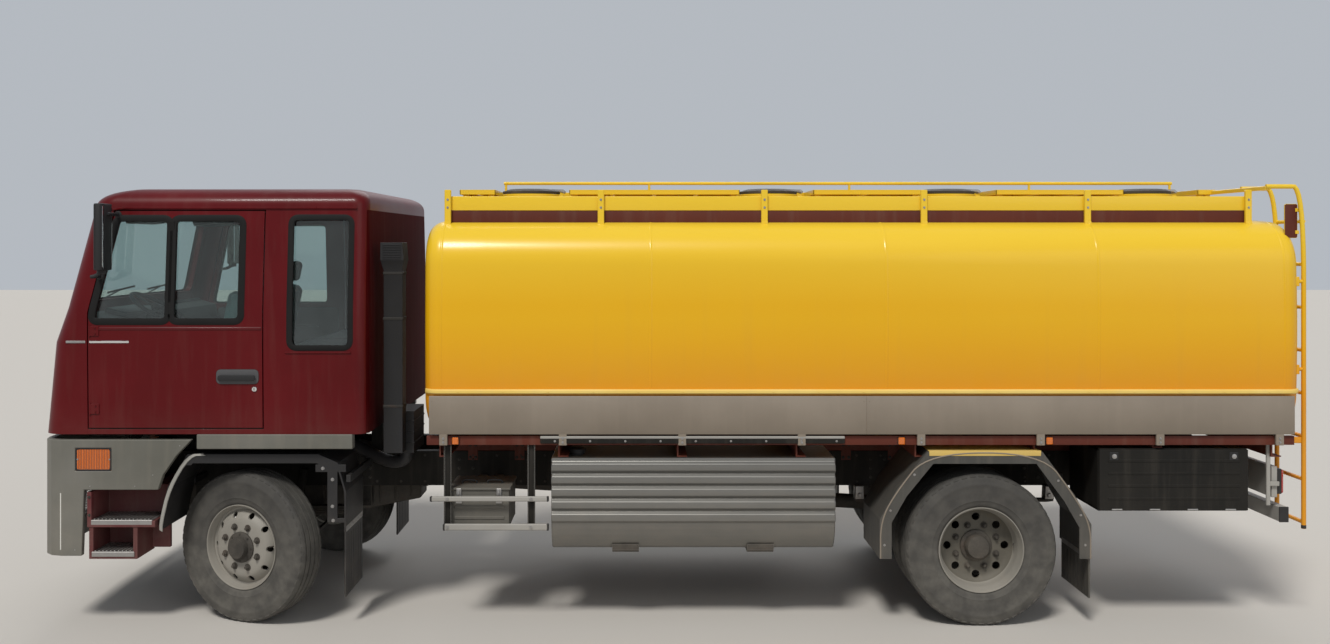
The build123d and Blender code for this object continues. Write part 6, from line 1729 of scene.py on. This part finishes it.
def blowUp(piece):
    cloth = piece.modifiers.new("cloth", "CLOTH")
    cloth.settings.use_pressure = True
    cloth.settings.uniform_pressure_force = padding["pressure"]
    cloth.settings.effector_weights.gravity = 0
    cloth.settings.tension_stiffness = padding["tension"]
    cloth.settings.bending_stiffness = padding["bending"]
    cloth.point_cache.frame_start, cloth.point_cache.frame_end = 1, padding["frames"]
    for step in range(1, padding["frames"] + 1):
        bpy.context.scene.frame_set(step)
    seen = piece.evaluated_get(bpy.context.evaluated_depsgraph_get()).data
    moved = [v.co.copy() for v in seen.vertices]
    piece.modifiers.remove(cloth)
    bpy.context.scene.frame_set(1)
    return moved


def softPad(name, size, place, turn, crown, cap, finish, voxel=0.013):
    half = [length / 2 for length in size]
    bm = bmesh.new()  # a slightly small rounded block, blown up as cloth, then smoothed
    addBox(bm, *[(-reach, reach) for reach in half], min(size) * 0.24)
    for vert in bm.verts:
        for axis in range(3):
            vert.co[axis] -= math.copysign(min(0.006, cap * 0.5), vert.co[axis])
    data = bpy.data.meshes.new(name)
    bm.to_mesh(data)
    bm.free()
    piece = bpy.data.objects.new(name, data)
    bpy.context.scene.collection.objects.link(piece)
    remesh = piece.modifiers.new("remesh", "REMESH")
    remesh.mode, remesh.voxel_size = "VOXEL", voxel
    applyStack(piece)
    base = [v.co.copy() for v in piece.data.vertices]
    moved = blowUp(piece)
    for vert, start, end in zip(piece.data.vertices, base, moved):
        shift = end - start
        if shift.length > cap:
            shift *= cap / shift.length
        u, w = start.x / half[0], start.y / half[1]  # the sides pull in between the corners
        shift.x -= math.copysign(padding["pull"] * (1 - w * w) * abs(u) ** 4, u)
        shift.y -= math.copysign(padding["pull"] * (1 - u * u) * abs(w) ** 4, w)
        vert.co = start + shift
    smooth = piece.modifiers.new("smooth", "SUBSURF")
    smooth.levels = smooth.render_levels = 1
    applyStack(piece)
    for vert in piece.data.vertices:
        if abs(vert.co.z) > half[2] * 0.55:  # two sewn grooves
            dip = sum(math.exp(-((vert.co.y - seam * half[1]) / padding["groove"]) ** 2) for seam in (0.46, -0.46))
            vert.co.z -= math.copysign(padding["groove"] * dip, vert.co.z)
        for axis in range(3):
            limit = half[axis] - padding["margin"]
            vert.co[axis] = max(-limit, min(limit, vert.co[axis]))
    piece.data.transform(Matrix.Translation(place) @ turn.to_4x4())
    piece.data.polygons.foreach_set("use_smooth", [True] * len(piece.data.polygons))
    piece.data.materials.append(finish)
    return piece


def makePads(tilted):
    level, upright = Matrix.Identity(3), tilted @ Matrix.Rotation(math.radians(90), 3, "Y")
    up = tilted @ Vector(upward)
    pads = []
    for y, name in zip(seat["rows"], ("driver", "passenger")):
        base = Vector((seat["back"][0], y, seat["back"][1]))
        for part, size, place, turn, *swell in (
                ("seatCushion.", (0.520, 0.510, 0.150), Vector((-3.380, y, 1.715)), level, 0.016, 0.018, seatCloth),
                ("seatBack.", (0.560, 0.490, 0.130), base + up * 0.280, upright, 0.016, 0.018, seatCloth),
                ("headRest.", (0.180, 0.280, 0.100), base + up * 0.655, upright, 0.010, 0.012, seatCloth, 0.009)):
            pads.append(softPad(part + name, size, place, turn, *swell))
    for number, y in (("1", -0.55), ("2", 0.55)):
        place = Vector((-2.455, y, 1.770))
        pads.append(softPad("bunkPad." + number, (0.668, 1.098, 0.140), place, level, 0.012, 0.014, bunkCloth, 0.018))
    for piece in pads:
        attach(piece, "cab")
        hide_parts("seats")


def makeSeats():
    tilted = Matrix.Rotation(math.radians(seat["backTilt"]), 3, "Y")
    makePads(tilted)
    bm = bmesh.new()
    y = seat["rows"][1]
    for k, z in enumerate(spaced(1.345, 0.034, 7)):  # pedestal with its gaiter
        swell = 0.010 * (k % 2)
        addBox(bm, (-3.530 - swell, -3.190 + swell), around(y, 0.135 + swell), around(z, 0.018), 0.008, 0)
    addBox(bm, (-3.560, -3.160), around(y, 0.150), (1.325, 1.345), 0.004, 1)
    addBox(bm, (-3.560, -3.160), around(y, 0.150), (1.585, 1.640), 0.008, 1)
    for edge in (-1, 1):  # side valances, and the posts of the head rest
        addBox(bm, (-3.58, -3.16), around(y + edge * 0.220, 0.015), (1.605, 1.642), 0.006, 1)
        post = Vector((-3.170, y + edge * 0.055, 1.70)) + tilted @ Vector((0, 0, 0.555))
        addRod(bm, post, post + tilted @ Vector((0, 0, 0.04)), 0.006, 12, 2)
    addBox(bm, (-3.21, -3.18), around(y * 0.60, 0.014), (1.66, 1.76), 0.005, 1)  # belt buckle
    addBox(bm, (-2.780, -2.425), (0.402, 1.080), (1.325, 1.699), 0.006, 3)  # bunk box, its panel line and strap
    addBox(bm, (-2.783, -2.778), (0.44, 1.04), (1.40, 1.66), 0.003, 1)
    addBox(bm, (-2.788, -2.782), (0.70, 0.78), (1.615, 1.640), 0.002, 0)
    addTwin(bm)
    addBox(bm, (-2.780, -2.125), (-0.402, 0.402), (1.5005, 1.699), 0.006, 3)
    addBox(bm, (-2.430, -2.125), (-1.080, 1.080), (1.325, 1.699), 0.006, 3)
    makePiece("seatFrames", bm, [blackPlastic, trimPlastic, steel, bunkPanel], ["seats"], body="cab")


def makeLining():
    bm = bmesh.new()
    visor = [(-3.80, 2.74), (-3.62, 2.80), (-3.62, 2.72), (-3.78, 2.70)]
    addPrism(bm, visor, 0.42, 0.92, 0.006, 2)
    for k, y in enumerate(spaced(1.02, 0.011, 9)):  # curtain behind the quarter window
        addBox(bm, around(-2.182 + 0.006 * (k % 2), 0.008), (y, y + 0.011), (1.86, 2.72), 0.003, 2)
    addTwin(bm)
    addBox(bm, (-3.72, -2.22), (-0.96, 0.96), (2.845, 2.862), 0.006, 0)
    for x in (-3.50, -3.05):
        addBox(bm, around(x, 0.055), (-0.06, 0.06), (2.828, 2.847), 0.006, 1)
    makePiece("cabLining", bm, [liningCloth, lensClear, trimPlastic], body="cab")


makeFloor()
makeDash()
makeSteeringWheel()
makeSeats()
makeLining()
print("cab interior made")

view = {"place": (-0.232, -9.725, 2.567), "horizon": 243, "centre": 640, "frame": (1330, 644), "nearScale": 0.006667,
        "nearSide": -1.225}


def makeCamera():
    camera = bpy.data.objects.new("camera", bpy.data.cameras.new("camera"))
    bpy.context.scene.collection.objects.link(camera)
    camera.location = view["place"]
    camera.rotation_euler = (math.radians(90), 0, 0)
    wide, high = view["frame"]
    distance = view["nearSide"] - view["place"][1]
    camera.data.lens = 36 * distance / (wide * view["nearScale"])
    camera.data.shift_x = (wide / 2 - view["centre"]) / wide
    camera.data.shift_y = (view["horizon"] - high / 2) / wide
    bpy.context.scene.camera = camera


def addLamp(name, towards, strength, softness, colour=(1, 1, 1)):
    lamp = bpy.data.objects.new(name, bpy.data.lights.new(name, "SUN"))  # far off, so it lights the floor evenly
    bpy.context.scene.collection.objects.link(lamp)
    lamp.rotation_euler = Vector(towards).to_track_quat("-Z", "Y").to_euler()
    lamp.data.energy = strength
    lamp.data.angle = math.radians(softness)
    lamp.data.color = colour


def makeStage():
    floor = bpy.data.objects.new("floor", bpy.data.meshes.new("floor"))
    bm = bmesh.new()
    addFaces(bm, [(-60, -60, 0), (60, -60, 0), (60, 60, 0), (-60, 60, 0)], [(0, 1, 2, 3)])
    bm.to_mesh(floor.data)
    bm.free()
    bpy.context.scene.collection.objects.link(floor)
    paint = Paint("paleFloor")
    paint.set(Base_Color=(0.56, 0.535, 0.50), Roughness=0.85)
    floor.data.materials.append(paint.material)


def makeLight():
    world = bpy.data.worlds.new("softSky")
    bpy.context.scene.world = world
    world.use_nodes = True
    tree = world.node_tree
    seen, light = tree.nodes["Background"], tree.nodes.new("ShaderNodeBackground")
    seen.inputs["Color"].default_value = (0.46, 0.49, 0.53, 1)
    light.inputs["Color"].default_value = (0.27, 0.285, 0.305, 1)
    rays, mixed = tree.nodes.new("ShaderNodeLightPath"), tree.nodes.new("ShaderNodeMixShader")
    direct = rays.outputs["Is Camera Ray"]
    for kind in ("Is Glossy Ray", "Is Transmission Ray"):
        either = tree.nodes.new("ShaderNodeMath")
        either.operation = "MAXIMUM"
        tree.links.new(direct, either.inputs[0])
        tree.links.new(rays.outputs[kind], either.inputs[1])
        direct = either.outputs[0]
    tree.links.new(direct, mixed.inputs[0])
    tree.links.new(light.outputs[0], mixed.inputs[1])
    tree.links.new(seen.outputs[0], mixed.inputs[2])
    tree.links.new(mixed.outputs[0], tree.nodes["World Output"].inputs[0])
    addLamp("keyLamp", (2.9, 7.5, -10.8), 2.35, 13, (1.0, 0.97, 0.92))
    addLamp("fillLamp", (-6.0, 9.5, -3.8), 0.34, 40)
    addLamp("backLamp", (-1.0, -9.0, -7.5), 0.65, 40)


makeCamera()
makeStage()
makeLight()
bpy.context.scene.view_settings.view_transform = "Standard"
print("camera, stage and light made")
